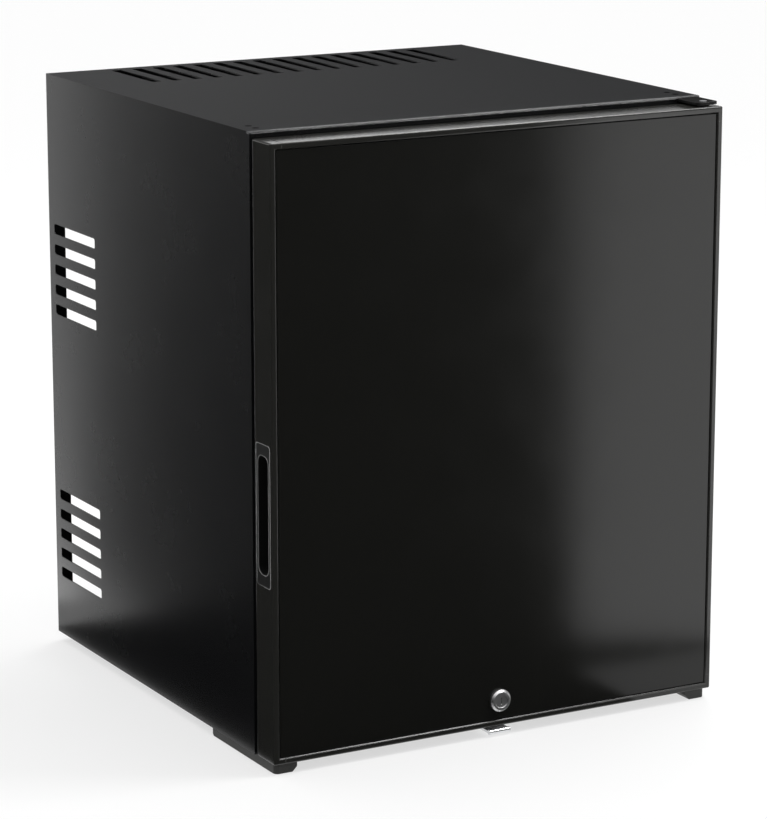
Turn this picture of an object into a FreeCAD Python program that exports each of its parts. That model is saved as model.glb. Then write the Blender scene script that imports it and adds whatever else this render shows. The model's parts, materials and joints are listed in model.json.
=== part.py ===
import FreeCAD, Part
import math
import os
from types import SimpleNamespace

import Sketcher

# A free-standing hotel minibar: a foamed steel cabinet with an absorption cooling unit in an open rear bay,
# and one door hinged on the right. X runs to the right of the door, Y from the door to the rear, Z up.
# The origin is on the floor, in the middle of the outer box.

Vector = FreeCAD.Vector

SIZES = {
    # Cabinet
    "cabinet_width": 402.0,
    "cabinet_height": 485.5,
    "cabinet_depth": 375.5,
    "sheet": 1.0,
    "side_wall": 32.5,
    "floor_wall": 36.0,
    "roof_wall": 34.0,
    "back_wall": 38.0,
    "rear_bay": 97.0,
    "rear_lip": 14.0,
    "brow_height": 3.4,
    # Vent slots
    "side_slot_length": 82.0,
    "side_slot_height": 8.6,
    "side_slot_pitch": 17.2,
    "side_slot_count": 5,
    "slot_to_rear": 10.4,
    "upper_slots_rise": 282.4,
    "lower_slots_rise": 52.0,
    "slot_corner": 2.0,
    "top_slot_width": 8.6,
    "top_slot_pitch": 18.9,
    "top_slot_count": 16,
    "base_slot_pitch": 24.0,
    "base_slot_count": 10,
    # Liner
    "liner_skin": 2.0,
    "liner_corner": 14.0,
    "ledge_reach": 7.0,
    "ledge_height": 5.0,
    "ledge_rise_share": 0.305,
    "ledge_pitch_share": 0.287,
    "ledge_count": 3,
    # Door
    "door_gap": 4.2,
    "door_thickness": 29.2,
    "door_lift": 0.4,
    "door_drop": 4.5,
    "rail_height": 12.0,
    "stile_width": 10.0,
    "frame_lip": 5.0,
    "frame_round": 1.4,
    "lip_chamfer": 0.9,
    "panel_recess": 1.0,
    "panel_thickness": 3.0,
    "panel_gap": 0.8,
    "door_skin": 1.6,
    "dyke_width": 14.0,
    "dyke_depth": 24.0,
    "dyke_inset": 16.5,
    "dyke_corner": 18.0,
    # Door seal
    "seal_inset": 16.0,
    "seal_width": 13.0,
    "seal_corner": 9.0,
    "seal_clearance": 0.3,
    "magnet_width": 8.0,
    "magnet_thickness": 2.0,
    # Hinge
    "pivot_inset": 11.0,
    "pivot_depth": 12.0,
    "pin_radius": 3.0,
    "bush_radius": 5.0,
    "bush_length": 9.0,
    "running_clearance": 0.05,
    "hinge_plate": 2.2,
    "hinge_plate_width": 20.0,
    "hinge_plate_reach": 36.0,
    "hinge_plate_nose": 8.0,
    "hinge_plate_edge": 0.5,
    "hinge_screw_inset": 13.0,
    "hinge_screw_front": 15.0,
    "hinge_screw_pitch": 12.0,
    "screw_radius": 1.6,
    "screw_head_radius": 2.7,
    "screw_head_height": 2.0,
    # Feet
    "foot_height": 8.0,
    "foot_width": 19.0,
    "foot_draft": 4.0,
    "foot_length": 108.0,
    "foot_inset": 2.6,
    "foot_set_back": 4.0,
    "foot_corner": 4.0,
    "foot_sole": 1.6,
    "rear_foot_radius": 12.0,
    "rear_foot_inset": 34.0,
    "foot_screw_inset": 10.0,
    "foot_screw_pitch": 40.0,
    # Handle
    "handle_rise": 139.6,
    "handle_height": 111.4,
    "handle_width": 22.8,
    "handle_border": 2.8,
    "handle_end_border": 9.2,
    "handle_corner": 6.4,
    "handle_depth": 19.0,
    "handle_skin": 1.6,
    "handle_set_back": 4.2,
    # Lock
    "lock_proud": 3.0,
    "lock_rise": 21.6,
    "lock_bezel_radius": 9.0,
    "lock_bevel": 1.6,
    "lock_barrel_radius": 8.0,
    "lock_barrel_length": 16.0,
    "lock_plug_radius": 5.5,
    "lock_face_recess": 0.6,
    "lock_nut_radius": 9.0,
    "lock_nut_thickness": 4.0,
    "key_slot_width": 1.2,
    "key_slot_height": 5.0,
    "key_slot_depth": 3.0,
    "cam_length": 26.0,
    "cam_width": 9.0,
    "cam_thickness": 2.0,
    "cam_gap": 0.6,
    "cam_room": 1.2,
    "lock_box_wall": 1.5,
    "keeper_width": 19.0,
    "keeper_sheet": 2.0,
    "keeper_step": 3.0,
    "keeper_set_back": -1.0,
    "keeper_seat": 20.0,
    "keeper_lip_radius": 2.0,
    # Door racks
    "rack_depth": 62.0,
    "rack_height": 50.0,
    "rack_wall": 2.4,
    "rack_corner": 9.0,
    "rack_clearance": 0.8,
    "rack_rail": 12.0,
    "rack_window": 14.0,
    "lower_rack_rise": 76.0,
    "upper_rack_rise": 246.0,
    "lug_reach": 4.0,
    "lug_width": 10.0,
    "lug_height": 6.0,
    "lug_rise": 22.0,
    "lug_set_back": 8.0,
    "lug_clearance": 0.4,
    # Shelves
    "shelf_depth": 152.0,
    "shelf_rim_radius": 2.5,
    "shelf_wire_radius": 1.4,
    "shelf_wire_count": 14,
    "shelf_bar_count": 2,
    "shelf_clearance": 1.0,
    "shelf_seat": 0.3,
    "shelf_weld": 0.7,
    "shelf_corner": 8.0,
    # Cooling plate and drip trough
    "plate_width": 190.0,
    "plate_height": 110.0,
    "plate_thickness": 6.0,
    "plate_drop": 12.0,
    "plate_fin_depth": 22.0,
    "plate_fin_thickness": 2.0,
    "plate_fin_count": 19,
    "trough_depth": 34.0,
    "trough_height": 12.0,
    "trough_wall": 1.6,
    "trough_gap": 3.0,
    "trough_overhang": 5.0,
    "drain_radius": 4.0,
    "drain_tail": 60.0,
    "drain_reach": 18.0,
    # Lamp and thermostat
    "housing_width": 120.0,
    "housing_depth": 56.0,
    "housing_height": 22.0,
    "housing_wall": 2.0,
    "housing_set_back": 60.0,
    "lens_width": 48.0,
    "lens_depth": 34.0,
    "lens_inset": 8.0,
    "lens_proud": 1.0,
    "lamp_board": 1.6,
    "knob_radius": 12.0,
    "knob_height": 11.0,
    "knob_gap": 0.4,
    "knob_stem_radius": 3.0,
    "knob_stem_length": 9.0,
    "knob_inset": 28.0,
    "knob_grip_width": 4.0,
    "switch_length": 30.0,
    "switch_width": 8.0,
    "switch_offset": 70.0,
    # Absorption unit
    "boiler_radius": 36.0,
    "boiler_height": 222.0,
    "boiler_rise": 76.0,
    "boiler_offset": 92.0,
    "boiler_stand_off": 14.0,
    "boiler_tube_radius": 9.0,
    "boiler_tube_tail": 16.0,
    "heater_radius": 5.0,
    "heater_length": 120.0,
    "heater_gap": 3.0,
    "condenser_radius": 7.0,
    "condenser_drop": 66.0,
    "condenser_end": 74.0,
    "condenser_bend": 22.0,
    "fin_height": 58.0,
    "fin_depth": 50.0,
    "fin_thickness": 0.8,
    "fin_pitch": 7.0,
    "fin_count": 16,
    "fin_end_gap": 8.0,
    "exchanger_radius": 10.0,
    "exchanger_offset": 28.0,
    "exchanger_bend": 20.0,
    "exchanger_drop": 20.0,
    "exchanger_stand_off": 14.0,
    "vessel_radius": 27.0,
    "vessel_length": 186.0,
    "vessel_dome": 7.0,
    "vessel_offset": 52.0,
    "vessel_stand_off": 38.0,
    "coil_radius": 7.5,
    "coil_span": 118.0,
    "coil_pitch": 30.0,
    "coil_bend": 14.0,
    "coil_turns": 3,
    "coil_rise": 22.0,
    "line_radius": 5.0,
    "line_bend": 12.0,
    "line_drop": 22.0,
    "bracket_sheet": 2.0,
    "bracket_width": 176.0,
    "bracket_height": 30.0,
    "bracket_reach": 10.0,
    "clamp_width": 40.0,
    "clamp_height": 26.0,
    "brace_rise": 196.0,
    "brace_height": 26.0,
    "brace_sheet": 1.2,
    "control_width": 76.0,
    "control_height": 64.0,
    "control_depth": 42.0,
    "control_wall": 2.0,
    "control_left": 64.0,
    "control_drop": 110.0,
    "gland_radius": 7.0,
    "gland_bore_radius": 3.6,
    "gland_length": 12.0,
    "gland_flange_radius": 10.0,
    "gland_flange": 2.5,
    # Cuts run this far past the solid that they open
    "overrun": 2.0,
    # A turned hole is this much wider than the solid that seats in it
    "seat_clearance": 0.02,
}


class Size:
    """A length with its sheet expression and its value, so that sums of sizes stay bound to the sheet."""

    def __init__(self, text, value):
        self.text = text
        self.value = value

    def __add__(self, other):
        return joined(self, "+", other, self.value + number(other))

    def __radd__(self, other):
        return joined(other, "+", self, number(other) + self.value)

    def __sub__(self, other):
        return joined(self, "-", other, self.value - number(other))

    def __rsub__(self, other):
        return joined(other, "-", self, number(other) - self.value)

    def __mul__(self, other):
        return joined(self, "*", other, self.value * number(other))

    def __rmul__(self, other):
        return joined(other, "*", self, number(other) * self.value)

    def __truediv__(self, other):
        return joined(self, "/", other, self.value / number(other))

    def __neg__(self):
        return Size(f"(-1 * {self.text})", -self.value)


def number(item):
    return item.value if isinstance(item, Size) else item


def expression(item):
    return item.text if isinstance(item, Size) else repr(item)


def joined(left, sign, right, value):
    return Size(f"({expression(left)} {sign} {expression(right)})", value)


doc = FreeCAD.newDocument("minibar")
sheet = doc.addObject("Spreadsheet::Sheet", "Sizes")
for row_number, (word, value) in enumerate(SIZES.items(), start=1):
    sheet.set(f"A{row_number}", word)
    sheet.set(f"B{row_number}", str(value))
    sheet.setAlias(f"B{row_number}", word)
doc.recompute()
size = SimpleNamespace(**{word: Size(f"Sizes.{word}", value) for word, value in SIZES.items()})

# Turns that carry a shape drawn along Z onto another axis
TURNS = {
    "x": FreeCAD.Rotation(Vector(0, 1, 0), 90),
    "y": FreeCAD.Rotation(Vector(1, 0, 0), -90),
    "-y": FreeCAD.Rotation(Vector(1, 0, 0), 90),
    "z": FreeCAD.Rotation(),
    "-z": FreeCAD.Rotation(Vector(1, 0, 0), 180),
}
# Which way a sketch on each origin plane faces, along that plane's own axis
FACING = {"XY_Plane": 1, "YZ_Plane": 1, "XZ_Plane": -1}


def bind_place(item, at):
    for axis, value in zip("xyz", at):
        item.setExpression(f"Placement.Base.{axis}", expression(value))


def block(name, low, high):
    """A box between two corners."""
    box = doc.addObject("Part::Box", name)
    for side, start, end in zip(("Length", "Width", "Height"), low, high):
        box.setExpression(side, expression(end - start))
    bind_place(box, low)
    return box


def rod(name, radius, start, length, axis="z"):
    """A cylinder along one axis."""
    cylinder = doc.addObject("Part::Cylinder", name)
    cylinder.Placement.Rotation = TURNS[axis]
    cylinder.setExpression("Radius", expression(radius))
    cylinder.setExpression("Height", expression(length))
    bind_place(cylinder, start)
    return cylinder


def fuse(name, parts):
    """Solids that touch or overlap, joined into one."""
    whole = doc.addObject("Part::MultiFuse", name)
    whole.Shapes = parts
    return whole


def group(name, parts):
    """Separate solids kept under one name."""
    whole = doc.addObject("Part::Compound", name)
    whole.Links = parts
    return whole


def cut(name, base, tools):
    """A solid with every tool taken out of it."""
    left = doc.addObject("Part::Cut", name)
    left.Base = base
    left.Tool = tools[0] if len(tools) == 1 else group(f"{name}_cuts", tools)
    return left


def new_body(name):
    return doc.addObject("PartDesign::Body", name)


def new_sketch(body, name, plane, level):
    """A sketch on one of the body's own origin planes, moved along that plane's axis to a level."""
    sketch = body.newObject("Sketcher::SketchObject", f"{body.Label}_{name}")
    support = [item for item in body.Origin.OriginFeatures if item.Role == plane]
    sketch.AttachmentSupport = [(support[0], "")]
    sketch.MapMode = "FlatFace"
    sketch.setExpression("AttachmentOffset.Base.z", expression(level * FACING[plane]))
    return sketch


def bound(sketch, name, kind, *items):
    """A dimension of a sketch, bound to the sheet. The last item is its size."""
    value = items[-1]
    index = sketch.addConstraint(Sketcher.Constraint(kind, *items[:-1], number(value)))
    sketch.renameConstraint(index, name)
    sketch.setExpression(f"Constraints.{name}", expression(value))


def outline(body, name, plane, level, points):
    """A closed sketch of straight lines through points in the plane."""
    sketch = new_sketch(body, name, plane, level)
    count = len(points)
    spots = [Vector(number(across), number(up), 0) for across, up in points]
    for index in range(count):
        sketch.addGeometry(Part.LineSegment(spots[index], spots[(index + 1) % count]), False)
    for index in range(count):
        sketch.addConstraint(Sketcher.Constraint("Coincident", index, 2, (index + 1) % count, 1))
    for index, (across, up) in enumerate(points):
        bound(sketch, f"across{index}", "DistanceX", -1, 1, index, 1, across)
        bound(sketch, f"up{index}", "DistanceY", -1, 1, index, 1, up)
    return sketch


def oblong(body, name, plane, level, low, high):
    """A sketch of a plain rectangle between two corners."""
    corners = [low, (high[0], low[1]), high, (low[0], high[1])]
    return outline(body, name, plane, level, corners)


def rounded_oblong(body, name, plane, level, low, high, radius):
    """A sketch of a rectangle with four equal round corners."""
    sketch = new_sketch(body, name, plane, level)
    left, down, right, up, bend = (number(item) for item in (*low, *high, radius))
    lines = [
        (Vector(left + bend, down, 0), Vector(right - bend, down, 0)),
        (Vector(right, down + bend, 0), Vector(right, up - bend, 0)),
        (Vector(right - bend, up, 0), Vector(left + bend, up, 0)),
        (Vector(left, up - bend, 0), Vector(left, down + bend, 0)),
    ]
    centres = [
        Vector(right - bend, down + bend, 0),
        Vector(right - bend, up - bend, 0),
        Vector(left + bend, up - bend, 0),
        Vector(left + bend, down + bend, 0),
    ]
    for start, end in lines:
        sketch.addGeometry(Part.LineSegment(start, end), False)
    quarter = math.pi / 2
    for index, centre in enumerate(centres):
        circle = Part.Circle(centre, Vector(0, 0, 1), bend)
        first = quarter * (index - 1)
        sketch.addGeometry(Part.ArcOfCircle(circle, first, first + quarter), False)
    for index in range(4):
        arc = 4 + index
        sketch.addConstraint(Sketcher.Constraint("Tangent", index, 2, arc, 1))
        sketch.addConstraint(Sketcher.Constraint("Tangent", arc, 2, (index + 1) % 4, 1))
    for index, kind in enumerate(("Horizontal", "Vertical", "Horizontal", "Vertical")):
        sketch.addConstraint(Sketcher.Constraint(kind, index))
    for index in range(1, 4):
        sketch.addConstraint(Sketcher.Constraint("Equal", 4, 4 + index))
    bound(sketch, "corner", "Radius", 4, radius)
    bound(sketch, "left", "DistanceX", -1, 1, 3, 1, low[0])
    bound(sketch, "right", "DistanceX", -1, 1, 1, 1, high[0])
    bound(sketch, "down", "DistanceY", -1, 1, 0, 1, low[1])
    bound(sketch, "up", "DistanceY", -1, 1, 2, 1, high[1])
    return sketch


def round_sketch(body, name, plane, level, centre, radius):
    """A sketch of one circle."""
    sketch = new_sketch(body, name, plane, level)
    middle = Vector(number(centre[0]), number(centre[1]), 0)
    sketch.addGeometry(Part.Circle(middle, Vector(0, 0, 1), number(radius)), False)
    bound(sketch, "radius", "Radius", 0, radius)
    bound(sketch, "across", "DistanceX", -1, 1, 0, 3, centre[0])
    bound(sketch, "up", "DistanceY", -1, 1, 0, 3, centre[1])
    return sketch


def pad(body, sketch, length, toward):
    """Adds a sketch's area as a solid that grows up (1) or down (-1) its plane's axis."""
    feature = body.newObject("PartDesign::Pad", f"{sketch.Name}_pad")
    feature.Profile = sketch
    feature.setExpression("Length", expression(length))
    feature.Reversed = toward * facing(sketch) < 0
    doc.recompute()
    return feature


def pocket(body, sketch, depth, toward):
    """Takes a sketch's area out of the body, up (1) or down (-1) its plane's axis."""
    before = body.Shape.Volume
    feature = body.newObject("PartDesign::Pocket", f"{sketch.Name}_pocket")
    feature.Profile = sketch
    feature.setExpression("Length", expression(depth))
    feature.Reversed = toward * facing(sketch) > 0
    doc.recompute()
    if body.Shape.Volume >= before:
        raise ValueError(f"{feature.Name} cuts nothing")
    return feature


def facing(sketch):
    return FACING[sketch.AttachmentSupport[0][0].Role]


def repeated(body, feature, sketch, axis, pitch, count):
    """A row of one feature along an axis of its sketch, H_Axis or V_Axis."""
    pattern = body.newObject("PartDesign::LinearPattern", f"{feature.Name}_row")
    pattern.Originals = [feature]
    pattern.Direction = (sketch, [axis])
    pattern.Mode = "Spacing"
    pattern.setExpression("Offset", expression(pitch))
    pattern.setExpression("Occurrences", expression(count))
    body.Tip = pattern
    doc.recompute()
    return pattern


def eased(body, kind, radius, wanted):
    """A Fillet or Chamfer on the edges that the wanted test picks by their two ends."""
    base = body.Tip
    names = []
    for index, edge in enumerate(base.Shape.Edges, start=1):
        ends = [vertex.Point for vertex in edge.Vertexes]
        if len(ends) == 2 and wanted(*ends):
            names.append(f"Edge{index}")
    feature = body.newObject(f"PartDesign::{kind}", f"{body.Label}_{kind}_{len(body.Group)}")
    feature.Base = (base, names)
    feature.setExpression("Radius" if kind == "Fillet" else "Size", expression(radius))
    doc.recompute()
    return feature


def near(value, wanted):
    return math.isclose(value, number(wanted), abs_tol=1e-6)


def turned(name, points, at, axis="z"):
    """A body of revolution. The points are (radius, height) along its own axis."""
    body = new_body(name)
    profile = outline(body, "profile", "XZ_Plane", 0, points)
    feature = body.newObject("PartDesign::Revolution", f"{name}_turn")
    feature.Profile = profile
    feature.ReferenceAxis = (profile, ["V_Axis"])
    feature.Angle = 360
    body.Placement.Rotation = TURNS[axis]
    bind_place(body, at)
    return body


def path(points, bend):
    """A wire of straight runs through points, with each corner rounded by a tangent arc."""
    spots = [Vector(*(number(value) for value in point)) for point in points]
    edges = []
    start = spots[0]
    for before, corner, after in zip(spots, spots[1:], spots[2:]):
        inward = (before - corner).normalize()
        onward = (after - corner).normalize()
        half_turn = (math.pi - inward.getAngle(onward)) / 2
        setback = number(bend) * math.tan(half_turn)
        middle = (inward + onward).normalize()
        centre = corner + middle * (number(bend) / math.cos(half_turn))
        arc_start = corner + inward * setback
        arc_end = corner + onward * setback
        edges.append(Part.LineSegment(start, arc_start).toShape())
        edges.append(Part.Arc(arc_start, centre - middle * number(bend), arc_end).toShape())
        start = arc_end
    edges.append(Part.LineSegment(start, spots[-1]).toShape())
    return Part.Wire(edges)


def tube(name, radius, points, bend):
    """A round tube or wire swept along a path."""
    spine = doc.addObject("Part::Feature", f"{name}_path")
    spine.Shape = path(points, bend)
    ring = doc.addObject("Part::Circle", f"{name}_ring")
    ring.setExpression("Radius", expression(radius))
    first = spine.Shape.Edges[0]
    ring.Placement = FreeCAD.Placement(
        first.Vertexes[0].Point, FreeCAD.Rotation(Vector(0, 0, 1), first.tangentAt(first.FirstParameter))
    )
    sweep = doc.addObject("Part::Sweep", name)
    sweep.Sections = [ring]
    sweep.Spine = (spine, [f"Edge{index}" for index in range(1, len(spine.Shape.Edges) + 1)])
    sweep.Solid = True
    sweep.Frenet = False
    return sweep


# Places that the driving sizes fix, shared by the pieces below
half = size.cabinet_width / 2
total_depth = size.lock_proud + size.door_thickness + size.door_gap + size.cabinet_depth
door_front = size.lock_proud - total_depth / 2
door_back = door_front + size.door_thickness
front = door_back + size.door_gap
rear = front + size.cabinet_depth
bottom = size.foot_height
top = bottom + size.cabinet_height
door_bottom = bottom + size.door_lift
door_top = top - size.door_drop
inside = half - size.sheet
brow_bottom = top - size.brow_height
bulkhead_rear = rear - size.rear_bay
bulkhead_front = bulkhead_rear - size.sheet
liner_half = half - size.side_wall
liner_floor = bottom + size.floor_wall
liner_roof = top - size.roof_wall
liner_front = front + size.sheet
liner_outer_back = bulkhead_front - size.back_wall
liner_back = liner_outer_back - size.liner_skin
pivot_x = half - size.pivot_inset
pivot_y = door_front + size.pivot_depth
plate_top = top - size.sheet
plate_bottom = plate_top - size.hinge_plate
hinge_plate_outer = inside - size.hinge_plate_edge
hinge_plate_inner = hinge_plate_outer - size.hinge_plate_width
hinge_screw_x = half - size.hinge_screw_inset
hinge_screw_ys = [front + size.hinge_screw_front + size.hinge_screw_pitch * step for step in range(2)]
cooling_top = liner_roof - size.plate_drop
cooling_bottom = cooling_top - size.plate_height
trough_top = cooling_bottom - size.trough_gap
trough_bottom = trough_top - size.trough_height
# The ledges share out the room between the floor of the liner and the trough
ledge_room = trough_bottom - liner_floor
lowest_ledge = liner_floor + ledge_room * size.ledge_rise_share
ledge_pitch = ledge_room * size.ledge_pitch_share
drain_z = trough_bottom + size.trough_wall + size.drain_radius
condenser_z = top - size.condenser_drop
exchanger_z = cooling_bottom + size.exchanger_drop
boiler_x = -size.boiler_offset
boiler_y = bulkhead_rear + size.boiler_stand_off + size.boiler_radius
boiler_bottom = bottom + size.boiler_rise
boiler_top = boiler_bottom + size.boiler_height
vessel_z = bottom + size.sheet + size.bracket_sheet + size.vessel_radius
vessel_y = bulkhead_rear + size.vessel_stand_off + size.vessel_radius
vessel_start = size.vessel_offset - size.vessel_length / 2
vessel_end = vessel_start + size.vessel_length
# Tubes that pass through the rear wall into the cooling plate: (x, z, radius)
wall_tubes = [
    (size.condenser_end, condenser_z, size.condenser_radius),
    (size.exchanger_offset, exchanger_z, size.exchanger_radius),
]
drain_hole = (0, drain_z, size.drain_radius)


def wall_holes(body, holes, level, depth):
    """Round holes through a wall that faces the rear, from a level towards the rear."""
    for index, (x, z, radius) in enumerate(holes):
        hole = round_sketch(body, f"hole{index}", "XZ_Plane", level, (x, z), radius + size.seat_clearance)
        pocket(body, hole, depth, 1)


def side_panel(name, side):
    """A steel side with two groups of vent slots and a lip folded in along the rear edge."""
    body = new_body(name)
    face = half * side
    plate = oblong(body, "plate", "YZ_Plane", face, (front, bottom), (rear, plate_top))
    pad(body, plate, size.sheet, -side)
    lip_edges = sorted([face, face - side * size.rear_lip], key=number)
    lip = oblong(body, "lip", "XZ_Plane", rear, (lip_edges[0], bottom), (lip_edges[1], plate_top))
    pad(body, lip, size.sheet, -1)
    slot_rear = rear - size.slot_to_rear
    slot_front = slot_rear - size.side_slot_length
    for word, rise in (("upper", size.upper_slots_rise), ("lower", size.lower_slots_rise)):
        low = (slot_front, bottom + rise)
        high = (slot_rear, bottom + rise + size.side_slot_height)
        slot = rounded_oblong(body, f"{word}_slot", "YZ_Plane", face, low, high, size.slot_corner)
        opened = pocket(body, slot, size.sheet, -side)
        repeated(body, opened, slot, "V_Axis", size.side_slot_pitch, size.side_slot_count)
    screw_z = bottom + size.brace_rise + size.brace_height / 2
    hole = round_sketch(
        body, "brace_hole", "XZ_Plane", rear, (side * brace_screw_x, screw_z),
        size.screw_head_radius + size.seat_clearance,
    )
    pocket(body, hole, size.sheet, -1)
    return body


brace_screw_x = half - size.sheet - size.rear_lip / 2


def top_panel():
    """The steel top with a row of vent slots, a brow folded down in front and a lip at the rear."""
    body = new_body("top_panel")
    plate = oblong(body, "plate", "XY_Plane", top, (-half, front), (half, rear))
    pad(body, plate, size.sheet, -1)
    brow_half = hinge_plate_inner - size.hinge_plate_edge
    brow = oblong(body, "brow", "XZ_Plane", front, (-brow_half, brow_bottom), (brow_half, top))
    pad(body, brow, size.sheet, 1)
    lip_half = half - size.rear_lip - size.hinge_plate_edge
    lip = oblong(body, "lip", "XZ_Plane", rear, (-lip_half, top - size.rear_lip), (lip_half, top))
    pad(body, lip, size.sheet, -1)
    first = -size.top_slot_pitch * (size.top_slot_count - 1) / 2
    slot_rear = rear - size.slot_to_rear
    low = (first - size.top_slot_width / 2, slot_rear - size.side_slot_length)
    high = (first + size.top_slot_width / 2, slot_rear)
    slot = rounded_oblong(body, "slot", "XY_Plane", top, low, high, size.slot_corner)
    opened = pocket(body, slot, size.sheet, -1)
    repeated(body, opened, slot, "H_Axis", size.top_slot_pitch, size.top_slot_count)
    for side in (-1, 1):
        for step, y in enumerate(hinge_screw_ys):
            hole = round_sketch(
                body, f"screw_hole{side + step * 3 + 1}", "XY_Plane", top, (hinge_screw_x * side, y),
                size.screw_head_radius + size.seat_clearance,
            )
            pocket(body, hole, size.sheet, -1)
    eased(
        body, "Fillet", size.sheet,
        lambda start, end: all(near(point.y, front) and near(point.z, top) for point in (start, end)),
    )
    return body


def base_panel():
    """The steel floor of the cabinet, slotted under the rear bay so that air can rise through it."""
    body = new_body("base_panel")
    plate = oblong(body, "plate", "XY_Plane", bottom, (-inside, front), (inside, rear - size.sheet))
    pad(body, plate, size.sheet, 1)
    first = -size.base_slot_pitch * (size.base_slot_count - 1) / 2
    slot_front = rear - size.slot_to_rear - size.side_slot_length
    low = (first - size.side_slot_height / 2, slot_front)
    high = (first + size.side_slot_height / 2, slot_front + base_slot_length)
    slot = rounded_oblong(body, "slot", "XY_Plane", bottom, low, high, size.slot_corner)
    opened = pocket(body, slot, size.sheet, 1)
    repeated(body, opened, slot, "H_Axis", size.base_slot_pitch, size.base_slot_count)
    for index, (x, y) in enumerate(base_screw_spots):
        hole = round_sketch(
            body, f"screw_hole{index}", "XY_Plane", bottom, (x, y), size.screw_radius + size.seat_clearance
        )
        pocket(body, hole, size.sheet, 1)
    return body


# The base slots stop in front of the rear feet
base_slot_length = size.side_slot_length - size.rear_foot_inset + size.slot_to_rear - size.rear_foot_radius
foot_front = door_front + size.foot_set_back
foot_outer = half - size.foot_inset
foot_inner = foot_outer - size.foot_width
foot_rear = foot_front + size.foot_length
foot_screw_ys = [foot_rear - size.foot_screw_inset - size.foot_screw_pitch * step for step in range(2)]
foot_screw_x = foot_outer - size.foot_width / 2
front_foot_spots = [(foot_screw_x * side, y) for side in (-1, 1) for y in foot_screw_ys]
rear_foot_y = rear - size.rear_foot_inset
rear_foot_spots = [((half - size.rear_foot_inset) * side, rear_foot_y) for side in (-1, 1)]
keeper_screw_y = front + size.keeper_step + size.keeper_seat / 2
keeper_screw_x = size.keeper_width / 4
keeper_spots = [(keeper_screw_x * side, keeper_screw_y) for side in (-1, 1)]
base_screw_spots = front_foot_spots + rear_foot_spots + keeper_spots


def liner_opening(body, plane_level, name):
    """The liner's inner outline, seen from the front."""
    return rounded_oblong(
        body, name, "XZ_Plane", plane_level, (-liner_half, liner_floor), (liner_half, liner_roof),
        size.liner_corner,
    )


def liner_outside(body, name):
    skin = size.liner_skin
    low = (-liner_half - skin, liner_floor - skin)
    high = (liner_half + skin, liner_roof + skin)
    return rounded_oblong(body, name, "XZ_Plane", liner_front, low, high, size.liner_corner + skin)


def front_frame():
    """The steel ring round the mouth of the cabinet, on which the door seal lands."""
    body = new_body("front_frame")
    ring = oblong(body, "ring", "XZ_Plane", front, (-inside, bottom + size.sheet), (inside, brow_bottom))
    pad(body, ring, size.sheet, 1)
    pocket(body, liner_opening(body, front, "mouth"), size.sheet, 1)
    return body


def inner_liner():
    """The moulded tub of the cold space, with ledges that carry the shelves."""
    body = new_body("inner_liner")
    pad(body, liner_outside(body, "tub"), liner_outer_back - liner_front, 1)
    pocket(body, liner_opening(body, liner_front, "hollow"), liner_back - liner_front, 1)
    ledge_front = liner_back - size.shelf_depth
    for side in (-1, 1):
        ends = sorted([liner_half * side, (liner_half - size.ledge_reach) * side], key=number)
        low = (ends[0], lowest_ledge - size.ledge_height)
        ledge = oblong(body, f"ledge{side + 1}", "XZ_Plane", ledge_front, low, (ends[1], lowest_ledge))
        rib = pad(body, ledge, size.shelf_depth, 1)
        repeated(body, rib, ledge, "V_Axis", ledge_pitch, size.ledge_count)
    wall_holes(body, [*wall_tubes, drain_hole], liner_back, size.liner_skin)
    return body


def cabinet_foam():
    """The rigid foam that fills the space between the steel and the liner."""
    body = new_body("cabinet_foam")
    low = (-inside, bottom + size.sheet)
    outside = oblong(body, "outside", "XZ_Plane", liner_front, low, (inside, brow_bottom))
    pad(body, outside, bulkhead_front - liner_front, 1)
    pocket(body, liner_outside(body, "tub_space"), liner_outer_back - liner_front, 1)
    wall_holes(body, [*wall_tubes, drain_hole], liner_outer_back, size.back_wall)
    low = (switch_x - size.switch_length / 2, switch_z)
    high = (switch_x + size.switch_length / 2, switch_z + size.switch_width)
    pocket(body, oblong(body, "switch_space", "XZ_Plane", liner_front, low, high), size.switch_width, 1)
    return body


switch_x = -size.switch_offset
switch_z = liner_roof + size.liner_skin + size.switch_width / 2


def reed_switch():
    """The sealed switch behind the front ring that a magnet in the door turns."""
    low = (switch_x - size.switch_length / 2, liner_front, switch_z)
    high = (
        switch_x + size.switch_length / 2, liner_front + size.switch_width, switch_z + size.switch_width
    )
    return block("reed_switch", low, high)


def rear_bulkhead():
    """The steel sheet between the foam and the open rear bay."""
    body = new_body("rear_bulkhead")
    low = (-inside, bottom + size.sheet)
    plate = oblong(body, "plate", "XZ_Plane", bulkhead_front, low, (inside, plate_top))
    pad(body, plate, size.sheet, 1)
    wall_holes(body, [*wall_tubes, drain_hole], bulkhead_front, size.sheet)
    return body


def rear_brace():
    """A strip across the rear bay that ties the two sides together."""
    low_z = bottom + size.brace_rise
    brace_rear = rear - size.sheet
    body = new_body("rear_brace")
    strip = oblong(body, "strip", "XZ_Plane", brace_rear, (-inside, low_z), (inside, low_z + size.brace_height))
    pad(body, strip, size.brace_sheet, -1)
    for side in (-1, 1):
        centre = (brace_screw_x * side, low_z + size.brace_height / 2)
        hole = round_sketch(
            body, f"screw_hole{side + 1}", "XZ_Plane", brace_rear, centre,
            size.screw_radius + size.seat_clearance,
        )
        pocket(body, hole, size.brace_sheet, -1)
    return body


def screw(name, at, axis, head_height, shank_length):
    """A flush-headed screw. Its head's face is at the given place and its shank runs along the axis."""
    points = [
        (0, 0),
        (size.screw_head_radius, 0),
        (size.screw_head_radius, head_height),
        (size.screw_radius, head_height),
        (size.screw_radius, head_height + shank_length),
        (0, head_height + shank_length),
    ]
    return turned(name, points, at, axis)


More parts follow.
